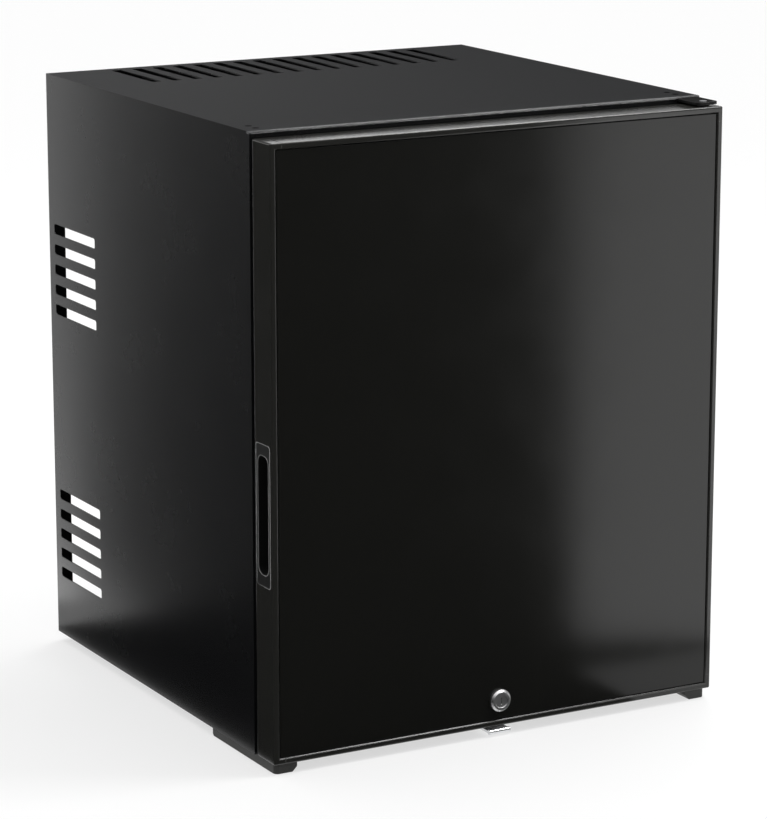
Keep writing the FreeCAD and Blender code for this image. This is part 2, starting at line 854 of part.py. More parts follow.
def body_screws():
    """The screws that hold the feet, the keeper, the rear brace, the hinge plate and its blank."""
    screws = []
    for side in (-1, 1):
        for y in hinge_screw_ys:
            place = (hinge_screw_x * side, y, top)
            screws.append(screw(f"top_screw{len(screws)}", place, "-z", size.sheet, size.hinge_plate))
    for index, (x, y) in enumerate(front_foot_spots + rear_foot_spots):
        shank = bottom + size.sheet - size.foot_sole - size.screw_head_height
        place = (x, y, size.foot_sole)
        screws.append(screw(f"foot_screw{index}", place, "z", size.screw_head_height, shank))
    for index, (x, y) in enumerate(keeper_spots):
        head_face = bottom - size.keeper_sheet - size.screw_head_height
        shank = size.keeper_sheet + size.sheet
        screws.append(screw(f"keeper_screw{index}", (x, y, head_face), "z", size.screw_head_height, shank))
    for index, side in enumerate((-1, 1)):
        place = (brace_screw_x * side, rear, bottom + size.brace_rise + size.brace_height / 2)
        screws.append(screw(f"brace_screw{index}", place, "-y", size.sheet, size.brace_sheet))
    return group("body_screws", screws)


def front_foot(name, side):
    """A bar foot that runs out under the door and carries the lower hinge pin at its front end."""
    body = new_body(name)
    ends = sorted([foot_outer * side, foot_inner * side], key=number)
    bar = oblong(body, "bar", "XY_Plane", 0, (ends[0], foot_front), (ends[1], foot_rear))
    pad(body, bar, size.foot_height, 1)
    eased(
        body, "Chamfer", size.foot_draft,
        lambda start, end: all(near(point.x, foot_inner * side) and near(point.z, 0) for point in (start, end)),
    )
    eased(
        body, "Fillet", size.foot_corner,
        lambda start, end: all(
            near(point.y, foot_front) and near(point.x, foot_outer * side) for point in (start, end)
        ),
    )
    eased(
        body, "Chamfer", size.foot_sole,
        lambda start, end: all(near(point.y, foot_rear) and near(point.z, 0) for point in (start, end)),
    )
    pin = round_sketch(
        body, "pin_hole", "XY_Plane", size.foot_sole, (pivot_x * side, pivot_y),
        size.pin_radius + size.seat_clearance,
    )
    pocket(body, pin, size.foot_height - size.foot_sole, 1)
    for index, y in enumerate(foot_screw_ys):
        centre = (foot_screw_x * side, y)
        head = round_sketch(
            body, f"head{index}", "XY_Plane", 0, centre,
            size.screw_head_radius + size.seat_clearance,
        )
        pocket(body, head, size.foot_sole + size.screw_head_height, 1)
        shank = round_sketch(
            body, f"shank{index}", "XY_Plane", 0, centre, size.screw_radius + size.seat_clearance
        )
        pocket(body, shank, size.foot_height, 1)
    return body


def rear_feet():
    """Two turned pads under the rear corners."""
    bore = size.screw_radius + size.seat_clearance
    counterbore = size.screw_head_radius + size.seat_clearance
    seat = size.foot_sole + size.screw_head_height
    taper = size.foot_sole
    points = [
        (counterbore, 0),
        (size.rear_foot_radius - taper, 0),
        (size.rear_foot_radius, taper),
        (size.rear_foot_radius - taper, size.foot_height),
        (bore, size.foot_height),
        (bore, seat),
        (counterbore, seat),
    ]
    pads = []
    for index, (x, y) in enumerate(rear_foot_spots):
        pads.append(turned(f"rear_foot{index}", points, (x, y, 0)))
    return group("rear_feet", pads)


def hinge_leaf(name, side, nose):
    """A flat plate under the top panel. The one on the right reaches out over the door's pivot."""
    body = new_body(name)
    ends = sorted([hinge_plate_outer * side, hinge_plate_inner * side], key=number)
    low = (ends[0], nose)
    high = (ends[1], front + size.hinge_plate_reach)
    leaf = oblong(body, "leaf", "XY_Plane", plate_top, low, high)
    pad(body, leaf, size.hinge_plate, -1)
    for step, y in enumerate(hinge_screw_ys):
        hole = round_sketch(
            body, f"screw_hole{step}", "XY_Plane", plate_top, (hinge_screw_x * side, y),
            size.screw_radius + size.seat_clearance,
        )
        pocket(body, hole, size.hinge_plate, -1)
    return body


def top_hinge_plate():
    nose = pivot_y - size.hinge_plate_nose
    body = hinge_leaf("top_hinge_plate", 1, nose)
    eased(
        body, "Fillet", size.foot_corner,
        lambda start, end: near(start.y, nose) and near(end.y, nose) and near(start.x, end.x),
    )
    pin = round_sketch(
        body, "pin_hole", "XY_Plane", plate_top, (pivot_x, pivot_y), size.pin_radius + size.seat_clearance
    )
    pocket(body, pin, size.hinge_plate, -1)
    return body


pin_reach = size.bush_length - size.door_lift


def top_hinge_pin():
    """The upper pin, riveted flush into the plate and hanging down into the door."""
    low = door_top - pin_reach
    return rod("top_hinge_pin", size.pin_radius, (pivot_x, pivot_y, low), plate_top - low)


def bottom_hinge_pin():
    """The lower pin, pressed into the right foot and standing up into the door."""
    high = door_bottom + pin_reach
    return rod("bottom_hinge_pin", size.pin_radius, (pivot_x, pivot_y, size.foot_sole), high - size.foot_sole)


def lock_keeper():
    """The strike under the front edge: a stepped plate with an open slot for the cam and a rolled lip."""
    side = size.keeper_width / 2
    seat_front = front + size.keeper_step
    seat_bottom = bottom - size.keeper_sheet
    tongue_top = bottom - size.keeper_step
    tongue_bottom = tongue_top - size.keeper_sheet
    nose = door_front + size.keeper_set_back
    lip_y = nose + size.keeper_lip_radius
    lip_z = tongue_top - size.keeper_sheet / 2
    seat = block("keeper_seat", (-side, seat_front, seat_bottom), (side, seat_front + size.keeper_seat, bottom))
    step = block(
        "keeper_riser", (-side, seat_front, tongue_bottom), (side, seat_front + size.keeper_sheet, bottom)
    )
    tongue = block("keeper_tongue", (-side, lip_y, tongue_bottom), (side, seat_front, tongue_top))
    lip = rod("keeper_lip", size.keeper_lip_radius, (-side, lip_y, lip_z), size.keeper_width, "x")
    whole = fuse("keeper_plate", [seat, step, tongue, lip])
    room = size.cam_width / 2 + size.cam_room
    slot = block(
        "keeper_slot", (-room, cam_front - size.cam_room, tongue_bottom - size.overrun),
        (side + size.overrun, cam_front + size.cam_thickness + size.cam_room, tongue_top + size.overrun),
    )
    holes = []
    for index, (x, y) in enumerate(keeper_spots):
        radius = size.screw_radius + size.seat_clearance
        start = (x, y, seat_bottom - size.overrun)
        length = size.keeper_sheet + size.overrun * 2
        holes.append(rod(f"keeper_hole{index}", radius, start, length))
    return cut("lock_keeper", whole, [slot, *holes])


panel_front = door_front + size.panel_recess
panel_back = panel_front + size.panel_thickness
lip_half = half - size.frame_lip
stile_inner = half - size.stile_width
rail_low_top = door_bottom + size.rail_height
rail_high_bottom = door_top - size.rail_height
lock_z = bottom + size.lock_rise
barrel_end = panel_front + size.lock_barrel_length
cam_front = barrel_end + size.cam_gap


def door_rail(name, outer, inner, grow):
    """A moulded end cap from the handle stile to the hinge corner, rebated for the front panel."""
    body = new_body(name)
    ends = sorted([outer, inner], key=number)
    bar = oblong(body, "bar", "XZ_Plane", door_front, (-stile_inner, ends[0]), (half, ends[1]))
    pad(body, bar, size.door_thickness, 1)
    lip = outer + grow * size.frame_lip
    rebate_ends = sorted([lip, inner], key=number)
    rebate = oblong(
        body, "rebate", "XZ_Plane", door_front, (-stile_inner, rebate_ends[0]), (lip_half, rebate_ends[1])
    )
    pocket(body, rebate, panel_back - door_front, 1)
    eased(
        body, "Chamfer", size.lip_chamfer,
        lambda start, end: all(
            near(point.y, door_front) and abs(point.x) <= lip_half.value + near_zero
            and not near(point.z, outer) for point in (start, end)
        ) and not (near(start.z, inner) and near(end.z, inner)),
    )
    eased(
        body, "Fillet", size.frame_round,
        lambda start, end: not near(start.x, end.x)
        and near(start.z, outer) and near(end.z, outer)
        or near(start.x, half) and near(end.x, half)
        and (near(start.y, end.y) or near(start.z, outer) and near(end.z, outer)),
    )
    bush = round_sketch(
        body, "bush_seat", "XY_Plane", outer, (pivot_x, pivot_y), size.bush_radius + size.seat_clearance
    )
    pocket(body, bush, size.bush_length, grow)
    return body


near_zero = 1e-6


def door_bottom_rail():
    body = door_rail("door_bottom_rail", door_bottom, rail_low_top, 1)
    room = size.cam_width / 2 + size.cam_room
    slot = oblong(
        body, "cam_slot", "XY_Plane", door_bottom, (-room, cam_front - size.cam_room),
        (size.cam_length + size.cam_room, cam_front + size.cam_thickness + size.cam_room),
    )
    pocket(body, slot, size.rail_height, 1)
    return body


def door_stile(name, side):
    """An upright of the door frame between the two end caps, rebated for the front panel."""
    body = new_body(name)
    face = half * side
    ends = sorted([face, stile_inner * side], key=number)
    bar = oblong(body, "bar", "XY_Plane", rail_low_top, (ends[0], door_front), (ends[1], door_back))
    pad(body, bar, rail_high_bottom - rail_low_top, 1)
    rebate_ends = sorted([lip_half * side, stile_inner * side], key=number)
    rebate = oblong(
        body, "rebate", "XY_Plane", rail_low_top, (rebate_ends[0], door_front), (rebate_ends[1], panel_back)
    )
    pocket(body, rebate, rail_high_bottom - rail_low_top, 1)
    eased(
        body, "Chamfer", size.lip_chamfer,
        lambda start, end: all(
            near(point.y, door_front) and near(point.x, lip_half * side) for point in (start, end)
        ),
    )
    eased(
        body, "Fillet", size.frame_round,
        lambda start, end: near(start.x, face) and near(end.x, face) and near(start.y, end.y),
    )
    return body


handle_front = door_front + size.handle_set_back
handle_rear = handle_front + size.handle_width
handle_bottom = bottom + size.handle_rise
handle_top = handle_bottom + size.handle_height
cup_low = (handle_front + size.handle_border, handle_bottom + size.handle_end_border)
cup_high = (handle_rear - size.handle_border, handle_top - size.handle_end_border)
cup_outer_low = tuple(value - size.handle_skin for value in cup_low)
cup_outer_high = tuple(value + size.handle_skin for value in cup_high)


def cup_space(body, name, depth, level):
    """Takes out the room that the handle cup's walls need, from the left face inwards."""
    hole = rounded_oblong(
        body, name, "YZ_Plane", level, cup_outer_low, cup_outer_high, size.handle_corner + size.handle_skin
    )
    pocket(body, hole, depth, 1)


def handle_stile(name):
    """The upright at the handle side: it runs the door's full height, and the end caps butt against it."""
    body = new_body(name)
    bar = oblong(body, "bar", "XY_Plane", door_bottom, (-half, door_front), (-stile_inner, door_back))
    pad(body, bar, door_top - door_bottom, 1)
    lip_low = door_bottom + size.frame_lip
    lip_high = door_top - size.frame_lip
    rebate = oblong(body, "rebate", "XY_Plane", lip_low, (-lip_half, door_front), (-stile_inner, panel_back))
    pocket(body, rebate, lip_high - lip_low, 1)
    eased(
        body, "Chamfer", size.lip_chamfer,
        lambda start, end: all(
            near(point.y, door_front) and abs(point.x) <= lip_half.value + near_zero
            and not near(point.z, door_top) and not near(point.z, door_bottom) for point in (start, end)
        ),
    )
    eased(
        body, "Fillet", size.frame_round,
        lambda start, end: near(start.x, -half) and near(end.x, -half)
        or not near(start.x, end.x)
        and any(near(start.z, face) and near(end.z, face) for face in (door_top, door_bottom)),
    )
    return body


def door_left_stile():
    body = handle_stile("door_left_stile")
    flange = rounded_oblong(
        body, "flange_seat", "YZ_Plane", -half, (handle_front, handle_bottom), (handle_rear, handle_top),
        size.handle_border,
    )
    pocket(body, flange, size.handle_skin, 1)
    cup_space(body, "cup_hole", size.stile_width, -half)
    return body


def handle_cup():
    """The recessed pull in the door's left edge: a flange with a rounded pocket behind it."""
    body = new_body("handle_cup")
    flange = rounded_oblong(
        body, "flange", "YZ_Plane", -half, (handle_front, handle_bottom), (handle_rear, handle_top),
        size.handle_border,
    )
    pad(body, flange, size.handle_skin, 1)
    cup = rounded_oblong(
        body, "cup", "YZ_Plane", -half, cup_outer_low, cup_outer_high, size.handle_corner + size.handle_skin
    )
    pad(body, cup, size.handle_depth + size.handle_skin, 1)
    hollow = rounded_oblong(body, "hollow", "YZ_Plane", -half, cup_low, cup_high, size.handle_corner)
    pocket(body, hollow, size.handle_depth, 1)
    return body


def door_front_panel():
    """The dark sheet let into the door frame."""
    body = new_body("door_front_panel")
    x = lip_half - size.panel_gap
    low_z = door_bottom + size.frame_lip + size.panel_gap
    high_z = door_top - size.frame_lip - size.panel_gap
    panel = oblong(body, "sheet", "XZ_Plane", panel_front, (-x, low_z), (x, high_z))
    pad(body, panel, size.panel_thickness, 1)
    hole = round_sketch(
        body, "lock_hole", "XZ_Plane", panel_front, (0, lock_z), size.lock_barrel_radius + size.seat_clearance
    )
    pocket(body, hole, size.panel_thickness, 1)
    return body


skin_front = door_back - size.door_skin
box_left = -size.lock_nut_radius - size.lock_box_wall - size.cam_room
box_right = size.cam_length + size.cam_room + size.lock_box_wall
box_top = lock_z + size.lock_nut_radius + size.lock_box_wall + size.cam_room
box_back = cam_front + size.cam_thickness + size.cam_room + size.lock_box_wall


def door_foam():
    """The foam core of the door, with room for the handle cup, the lock box and the switch magnet."""
    body = new_body("door_foam")
    low = (-stile_inner, rail_low_top)
    core = oblong(body, "core", "XZ_Plane", panel_back, low, (stile_inner, rail_high_bottom))
    pad(body, core, skin_front - panel_back, 1)
    cup_space(body, "cup_hole", size.handle_depth + size.handle_skin, -half)
    box = oblong(body, "lock_space", "XZ_Plane", panel_back, (box_left, rail_low_top), (box_right, box_top))
    pocket(body, box, box_back - panel_back, 1)
    magnet = oblong(body, "magnet_space", "XZ_Plane", skin_front, magnet_low, magnet_high)
    pocket(body, magnet, size.switch_width, -1)
    return body


magnet_low = (switch_x - size.switch_length / 2, switch_z)
magnet_high = (switch_x + size.switch_length / 2, switch_z + size.switch_width)


def switch_magnet():
    """The magnet in the door that works the reed switch."""
    low = (magnet_low[0], skin_front - size.switch_width, magnet_low[1])
    return block("switch_magnet", low, (magnet_high[0], skin_front, magnet_high[1]))


dyke_half = liner_half - size.dyke_inset
dyke_bottom = liner_floor + size.dyke_inset
dyke_top = liner_roof - size.dyke_inset
dyke_inner = dyke_half - size.dyke_width
rack_half = dyke_inner - size.rack_clearance
lug_front = door_back + size.lug_set_back
rack_rises = {"lower": size.lower_rack_rise, "upper": size.upper_rack_rise}


def door_liner():
    """The moulded back of the door: a raised rib all round and four lugs that carry the racks."""
    body = new_body("door_liner")
    skin = oblong(
        body, "skin", "XZ_Plane", skin_front, (-stile_inner, rail_low_top), (stile_inner, rail_high_bottom)
    )
    pad(body, skin, size.door_skin, 1)
    rib = rounded_oblong(
        body, "rib", "XZ_Plane", skin_front, (-dyke_half, dyke_bottom), (dyke_half, dyke_top), size.dyke_corner
    )
    pad(body, rib, size.door_skin + size.dyke_depth, 1)
    width = size.dyke_width
    hollow = rounded_oblong(
        body, "hollow", "XZ_Plane", door_back + size.dyke_depth,
        (-dyke_inner, dyke_bottom + width), (dyke_inner, dyke_top - width), size.dyke_corner - width / 2,
    )
    pocket(body, hollow, size.dyke_depth, -1)
    for word, rise in rack_rises.items():
        lug_low = bottom + rise + size.lug_rise
        for side in (-1, 1):
            lug = oblong(
                body, f"{word}_lug{side + 1}", "YZ_Plane", dyke_inner * side, (lug_front, lug_low),
                (lug_front + size.lug_width, lug_low + size.lug_height),
            )
            pad(body, lug, size.lug_reach, -side)
    return body


def door_rack(word):
    """A bottle rack that hooks over two lugs and lifts off them."""
    body = new_body(f"{word}_rack")
    floor = bottom + rack_rises[word]
    back = door_back + size.rack_clearance
    wall = size.rack_wall
    tray = rounded_oblong(
        body, "tray", "XY_Plane", floor, (-rack_half, back), (rack_half, back + size.rack_depth),
        size.rack_corner,
    )
    pad(body, tray, size.rack_height, 1)
    inner_low = (-rack_half + wall, back + wall)
    inner_high = (rack_half - wall, back + size.rack_depth - wall)
    hollow = rounded_oblong(
        body, "hollow", "XY_Plane", floor + wall, inner_low, inner_high, size.rack_corner - wall
    )
    pocket(body, hollow, size.rack_height, 1)
    window_top = floor + size.rack_height - size.rack_rail
    window = rounded_oblong(
        body, "window", "XZ_Plane", back + size.rack_depth,
        (-rack_half + size.rack_corner * 2, window_top - size.rack_window),
        (rack_half - size.rack_corner * 2, window_top), size.rack_window / 2 - size.rack_clearance,
    )
    pocket(body, window, wall + size.overrun, -1)
    gap = size.lug_clearance
    for side in (-1, 1):
        notch = oblong(
            body, f"notch{side + 1}", "YZ_Plane", rack_half * side, (lug_front - gap, floor),
            (lug_front + size.lug_width + gap, floor + size.lug_rise + size.lug_height + gap),
        )
        pocket(body, notch, size.lug_reach + gap, -side)
    return body


seal_half = half - size.seal_inset
seal_low = door_bottom + size.seal_inset
seal_high = door_top - size.seal_inset


def door_gasket():
    """The soft seal round the back of the door, with a channel for its magnets."""
    body = new_body("door_gasket")
    width = size.seal_width
    ring = rounded_oblong(
        body, "ring", "XZ_Plane", door_back, (-seal_half, seal_low), (seal_half, seal_high),
        size.seal_corner + width,
    )
    depth = size.door_gap - size.seal_clearance
    pad(body, ring, depth, 1)
    mouth = rounded_oblong(
        body, "mouth", "XZ_Plane", door_back, (-seal_half + width, seal_low + width),
        (seal_half - width, seal_high - width), size.seal_corner,
    )
    pocket(body, mouth, depth, 1)
    for index, (low, high) in enumerate(magnet_strips):
        channel = oblong(body, f"channel{index}", "XZ_Plane", door_back, low, high)
        pocket(body, channel, size.magnet_thickness, 1)
    return body


strip_edge = (size.seal_width - size.magnet_width) / 2
strip_end = size.seal_width + size.seal_corner
strip_half = seal_half - strip_end
strip_side = seal_half - strip_edge
strip_low = seal_low + strip_edge
strip_high = seal_high - strip_edge
magnet_strips = [
    ((-strip_half, strip_low), (strip_half, strip_low + size.magnet_width)),
    ((-strip_half, strip_high - size.magnet_width), (strip_half, strip_high)),
    ((-strip_side, seal_low + strip_end), (size.magnet_width - strip_side, seal_high - strip_end)),
    ((strip_side - size.magnet_width, seal_low + strip_end), (strip_side, seal_high - strip_end)),
]


def gasket_magnets():
    """Four magnetic strips inside the seal."""
    strips = []
    for index, (low, high) in enumerate(magnet_strips):
        near_corner = (low[0], door_back, low[1])
        far_corner = (high[0], door_back + size.magnet_thickness, high[1])
        strips.append(block(f"magnet_strip{index}", near_corner, far_corner))
    return group("gasket_magnets", strips)


def hinge_bushes():
    """Two plain bushes in the door's end caps."""
    bore = size.pin_radius + size.running_clearance
    points = [(bore, 0), (size.bush_radius, 0), (size.bush_radius, size.bush_length), (bore, size.bush_length)]
    low = turned("lower_bush", points, (pivot_x, pivot_y, door_bottom))
    high = turned("upper_bush", points, (pivot_x, pivot_y, door_top - size.bush_length))
    return group("hinge_bushes", [low, high])


lock_face = door_front - size.lock_proud


def lock_barrel():
    """The fixed body of the lock, with a bevelled bezel in front of the panel."""
    bore = size.lock_plug_radius + size.running_clearance
    bezel = panel_front - lock_face
    points = [
        (bore, 0),
        (size.lock_bezel_radius - size.lock_bevel, 0),
        (size.lock_bezel_radius, size.lock_bevel),
        (size.lock_bezel_radius, bezel),
        (size.lock_barrel_radius, bezel),
        (size.lock_barrel_radius, bezel + size.lock_barrel_length),
        (bore, bezel + size.lock_barrel_length),
    ]
    return turned("lock_barrel", points, (0, lock_face, lock_z), "y")


def lock_plug():
    """The part of the lock that the key turns."""
    start = lock_face + size.lock_face_recess
    plug = rod("plug_round", size.lock_plug_radius, (0, start, lock_z), cam_front - start, "y")
    width = size.key_slot_width / 2
    height = size.key_slot_height / 2
    slot = block(
        "key_slot", (-width, start - size.overrun, lock_z - height),
        (width, start + size.key_slot_depth, lock_z + height),
    )
    return cut("lock_plug", plug, [slot])


def lock_cam():
    """The flat arm on the plug. It lies across the door when unlocked and points down when locked."""
    tip = size.cam_width / 2
    length = size.cam_length - tip
    back = cam_front + size.cam_thickness
    arm = block("cam_arm", (0, cam_front, lock_z - tip), (length, back, lock_z + tip))
    nose = rod("cam_nose", tip, (length, cam_front, lock_z), size.cam_thickness, "y")
    hub = rod("cam_hub", size.lock_plug_radius, (0, cam_front, lock_z), size.cam_thickness, "y")
    return fuse("lock_cam", [arm, nose, hub])


def lock_nut():
    """The ring nut that clamps the lock to the panel."""
    points = [
        (size.lock_barrel_radius + size.seat_clearance, 0),
        (size.lock_nut_radius, 0),
        (size.lock_nut_radius, size.lock_nut_thickness),
        (size.lock_barrel_radius + size.seat_clearance, size.lock_nut_thickness),
    ]
    return turned("lock_nut", points, (0, panel_back, lock_z), "y")


def lock_box():
    """The moulded box that keeps foam off the lock. It is open to the panel and to the slot below."""
    wall = size.lock_box_wall
    shell = block("box_shell", (box_left, panel_back, rail_low_top), (box_right, box_back, box_top))
    room = block(
        "box_room", (box_left + wall, panel_back - size.overrun, rail_low_top - size.overrun),
        (box_right - wall, box_back - wall, box_top - wall),
    )
    return cut("lock_box", shell, [room])


def shelf(name, level):
    """A welded wire shelf that lies on one pair of ledges."""
    z = lowest_ledge + ledge_pitch * level + size.shelf_seat + size.shelf_rim_radius
    wire_z = z + size.shelf_rim_radius - size.shelf_wire_radius
    bar_z = wire_z - size.shelf_wire_radius * 2 + size.shelf_weld
    side = liner_half - size.shelf_clearance - size.shelf_rim_radius
    back_y = liner_back - size.shelf_clearance - size.shelf_rim_radius
    front_y = liner_back - size.shelf_depth + size.shelf_rim_radius
    loop = [
        (0, back_y, z), (side, back_y, z), (side, front_y, z), (-side, front_y, z), (-side, back_y, z),
        (0, back_y, z),
    ]
    rim = tube(f"{name}_rim", size.shelf_rim_radius, loop, size.shelf_corner)
    wires = []
    spacing = side * 2 / (size.shelf_wire_count + 1)
    for step in range(1, int(size.shelf_wire_count.value) + 1):
        start = (spacing * step - side, front_y, wire_z)
        wires.append(rod(f"{name}_wire{step}", size.shelf_wire_radius, start, back_y - front_y, "y"))
    bar_spacing = (back_y - front_y) / (size.shelf_bar_count + 1)
    for step in range(1, int(size.shelf_bar_count.value) + 1):
        start = (-side, front_y + bar_spacing * step, bar_z)
        wires.append(rod(f"{name}_bar{step}", size.shelf_wire_radius, start, side * 2, "x"))
    return fuse(name, [rim, *wires])


def cooling_plate():
    """The finned aluminium plate on the back wall of the cold space."""
    body = new_body("cooling_plate")
    side = size.plate_width / 2
    plate = oblong(body, "plate", "XZ_Plane", liner_back, (-side, cooling_bottom), (side, cooling_top))
    pad(body, plate, size.plate_thickness, -1)
    fin = oblong(
        body, "fin", "XZ_Plane", liner_back - size.plate_thickness, (-side, cooling_bottom),
        (size.plate_fin_thickness - side, cooling_top),
    )
    first = pad(body, fin, size.plate_fin_depth, -1)
    pitch = (size.plate_width - size.plate_fin_thickness) / (size.plate_fin_count - 1)
    repeated(body, first, fin, "H_Axis", pitch, size.plate_fin_count)
    return body


def drip_trough():
    """The trough under the cooling plate that catches melt water."""
    side = size.plate_width / 2 + size.trough_overhang
    wall = size.trough_wall
    front_y = liner_back - size.trough_depth
    shell = block("trough_shell", (-side, front_y, trough_bottom), (side, liner_back, trough_top))
    room = block(
        "trough_room", (wall - side, front_y + wall, trough_bottom + wall),
        (side - wall, liner_back - wall, trough_top + size.overrun),
    )
    spout = rod(
        "trough_spout", size.drain_radius + size.seat_clearance, (0, liner_back - wall - size.overrun, drain_z),
        wall + size.overrun * 2, "y",
    )
    return cut("drip_trough", shell, [room, spout])


def drain_tube():
    """The drain from the trough, through the rear wall and down into the rear bay."""
    tail_y = bulkhead_rear + size.drain_reach
    points = [
        (0, liner_back - size.trough_wall, drain_z), (0, tail_y, drain_z),
        (0, tail_y, drain_z - size.drain_tail),
    ]
    return tube("drain_tube", size.drain_radius, points, size.line_bend)


housing_front = front + size.housing_set_back
housing_back = housing_front + size.housing_depth
housing_bottom = liner_roof - size.housing_height
housing_middle = housing_front + size.housing_depth / 2
lens_left = size.lens_inset - size.housing_width / 2
lens_low = (lens_left, housing_middle - size.lens_depth / 2)
lens_high = (lens_left + size.lens_width, housing_middle + size.lens_depth / 2)
knob_x = size.housing_width / 2 - size.knob_inset


def control_housing():
    """The moulded cover on the roof of the cold space that holds the lamp and the thermostat."""
    side = size.housing_width / 2
    wall = size.housing_wall
    body = new_body("control_housing")
    cover = rounded_oblong(
        body, "cover", "XY_Plane", housing_bottom, (-side, housing_front), (side, housing_back),
        size.slot_corner * 2,
    )
    pad(body, cover, size.housing_height, 1)
    room = oblong(
        body, "room", "XY_Plane", housing_bottom + wall, (wall - side, housing_front + wall),
        (side - wall, housing_back - wall),
    )
    pocket(body, room, size.housing_height - wall, 1)
    pocket(body, oblong(body, "lens_hole", "XY_Plane", housing_bottom, lens_low, lens_high), wall, 1)
    stem = round_sketch(
        body, "stem_hole", "XY_Plane", housing_bottom, (knob_x, housing_middle),
        size.knob_stem_radius + size.running_clearance,
    )
    pocket(body, stem, wall, 1)
    return body


def lamp_lens():
    """The diffuser over the lamp."""
    low = (*lens_low, housing_bottom - size.lens_proud)
    return block("lamp_lens", low, (*lens_high, housing_bottom + size.housing_wall))


def lamp_board():
    """The light board on the roof above the diffuser."""
    return block("lamp_board", (*lens_low, liner_roof - size.lamp_board), (*lens_high, liner_roof))


def thermostat_knob():
    """The knob on its stem, with a grip bar across its face."""
    shoulder = size.knob_stem_length + size.housing_wall + size.knob_gap
    face = shoulder + size.knob_height
    stem_top = housing_bottom + size.housing_wall + size.knob_stem_length
    points = [
        (0, 0),
        (size.knob_stem_radius, 0),
        (size.knob_stem_radius, shoulder),
        (size.knob_radius, shoulder),
        (size.knob_radius - size.knob_gap, face),
        (0, face),
    ]
    turned_part = turned("knob_round", points, (knob_x, housing_middle, stem_top), "-z")
    face_z = stem_top - face
    half_grip = size.knob_grip_width / 2
    reach = size.knob_radius - size.knob_grip_width / 2
    grip = block(
        "knob_grip", (knob_x - reach, housing_middle - half_grip, face_z - size.knob_grip_width),
        (knob_x + half_grip, housing_middle + half_grip, face_z),
    )
    return fuse("thermostat_knob", [turned_part, grip])


def boiler_round(name, radius, low, height):
    return rod(name, radius, (boiler_x, boiler_y, low), height)


heater_x = boiler_x + size.boiler_tube_radius + size.heater_gap + size.heater_radius
heater_bottom = boiler_bottom - size.boiler_tube_tail / 2


def boiler_casing():
    """The sheet canister round the boiler."""
    inner_height = size.boiler_height - size.sheet * 2
    shell = boiler_round("casing_round", size.boiler_radius, boiler_bottom, size.boiler_height)
    floor = boiler_bottom + size.sheet
    room = boiler_round("casing_room", size.boiler_radius - size.sheet, floor, inner_height)
    long_hole = boiler_round(
        "casing_tube_hole", size.boiler_tube_radius + size.seat_clearance, boiler_bottom - size.overrun,
        size.boiler_height + size.overrun * 2,
    )
    heater_hole = rod(
        "casing_heater_hole", size.heater_radius + size.seat_clearance,
        (heater_x, boiler_y, boiler_bottom - size.overrun), size.overrun * 2 + size.sheet,
    )
    return cut("boiler_casing", shell, [room, long_hole, heater_hole])


def boiler_wool():
    """The mineral wool packed round the boiler inside its canister."""
    low = boiler_bottom + size.sheet
    height = size.boiler_height - size.sheet * 2
    pack = boiler_round("wool_round", size.boiler_radius - size.sheet, low, height)
    long_hole = boiler_round(
        "wool_tube_hole", size.boiler_tube_radius + size.seat_clearance, low - size.overrun,
        height + size.overrun * 2,
    )
    heater_hole = rod(
        "wool_heater_hole", size.heater_radius + size.seat_clearance, (heater_x, boiler_y, low - size.overrun),
        size.heater_length - size.boiler_tube_tail / 2 - size.sheet + size.overrun,
    )
    return cut("boiler_wool", pack, [long_hole, heater_hole])


def boiler_tube():
    """The boiler itself, a tube that stands through the canister."""
    return boiler_round(
        "boiler_tube", size.boiler_tube_radius, boiler_bottom - size.boiler_tube_tail,
        size.boiler_height + size.boiler_tube_tail * 2,
    )


def heater_cartridge():
    """The electric heater beside the boiler tube."""
    return rod("heater_cartridge", size.heater_radius, (heater_x, boiler_y, heater_bottom), size.heater_length)


def condenser_tube():
    """The tube from the boiler, across the top of the bay and into the cooling plate."""
    points = [
        (boiler_x, boiler_y, boiler_top + size.boiler_tube_tail),
        (boiler_x, boiler_y, condenser_z),
        (size.condenser_end, boiler_y, condenser_z),
        (size.condenser_end, liner_back, condenser_z),
    ]
    return tube("condenser_tube", size.condenser_radius, points, size.condenser_bend)


def condenser_fins():
    """A row of square fins on the level run of the condenser."""
    fins = []
    first = boiler_x + size.condenser_bend + size.fin_end_gap
    across = size.fin_depth / 2
    up = size.fin_height / 2
    for step in range(int(size.fin_count.value)):
        x = first + size.fin_pitch * step
        fin = block(
            f"fin_plate{step}", (x, boiler_y - across, condenser_z - up),
            (x + size.fin_thickness, boiler_y + across, condenser_z + up),
        )
        hole = rod(
            f"fin_hole{step}", size.condenser_radius + size.seat_clearance,
            (x - size.overrun, boiler_y, condenser_z), size.fin_thickness + size.overrun * 2, "x",
        )
        fins.append(cut(f"fin{step}", fin, [hole]))
    return group("condenser_fins", fins)


def absorber_vessel():
    """The domed drum at the bottom of the bay that holds the solution."""
    points = [
        (0, 0),
        (size.vessel_radius - size.vessel_dome, 0),
        (size.vessel_radius, size.vessel_dome),
        (size.vessel_radius, size.vessel_length - size.vessel_dome),
        (size.vessel_radius - size.vessel_dome, size.vessel_length),
        (0, size.vessel_length),
    ]
    return turned("absorber_vessel", points, (vessel_start, vessel_y, vessel_z), "x")


def gas_exchanger(vessel):
    """The thick return tube from the cooling plate down to the drum."""
    down_y = bulkhead_rear + size.exchanger_stand_off
    points = [
        (size.exchanger_offset, liner_back, exchanger_z),
        (size.exchanger_offset, down_y, exchanger_z),
        (size.exchanger_offset, down_y, vessel_z),
        (size.exchanger_offset, vessel_y, vessel_z),
    ]
    run = tube("exchanger_run", size.exchanger_radius, points, size.exchanger_bend)
    return cut("gas_exchanger", run, [vessel])


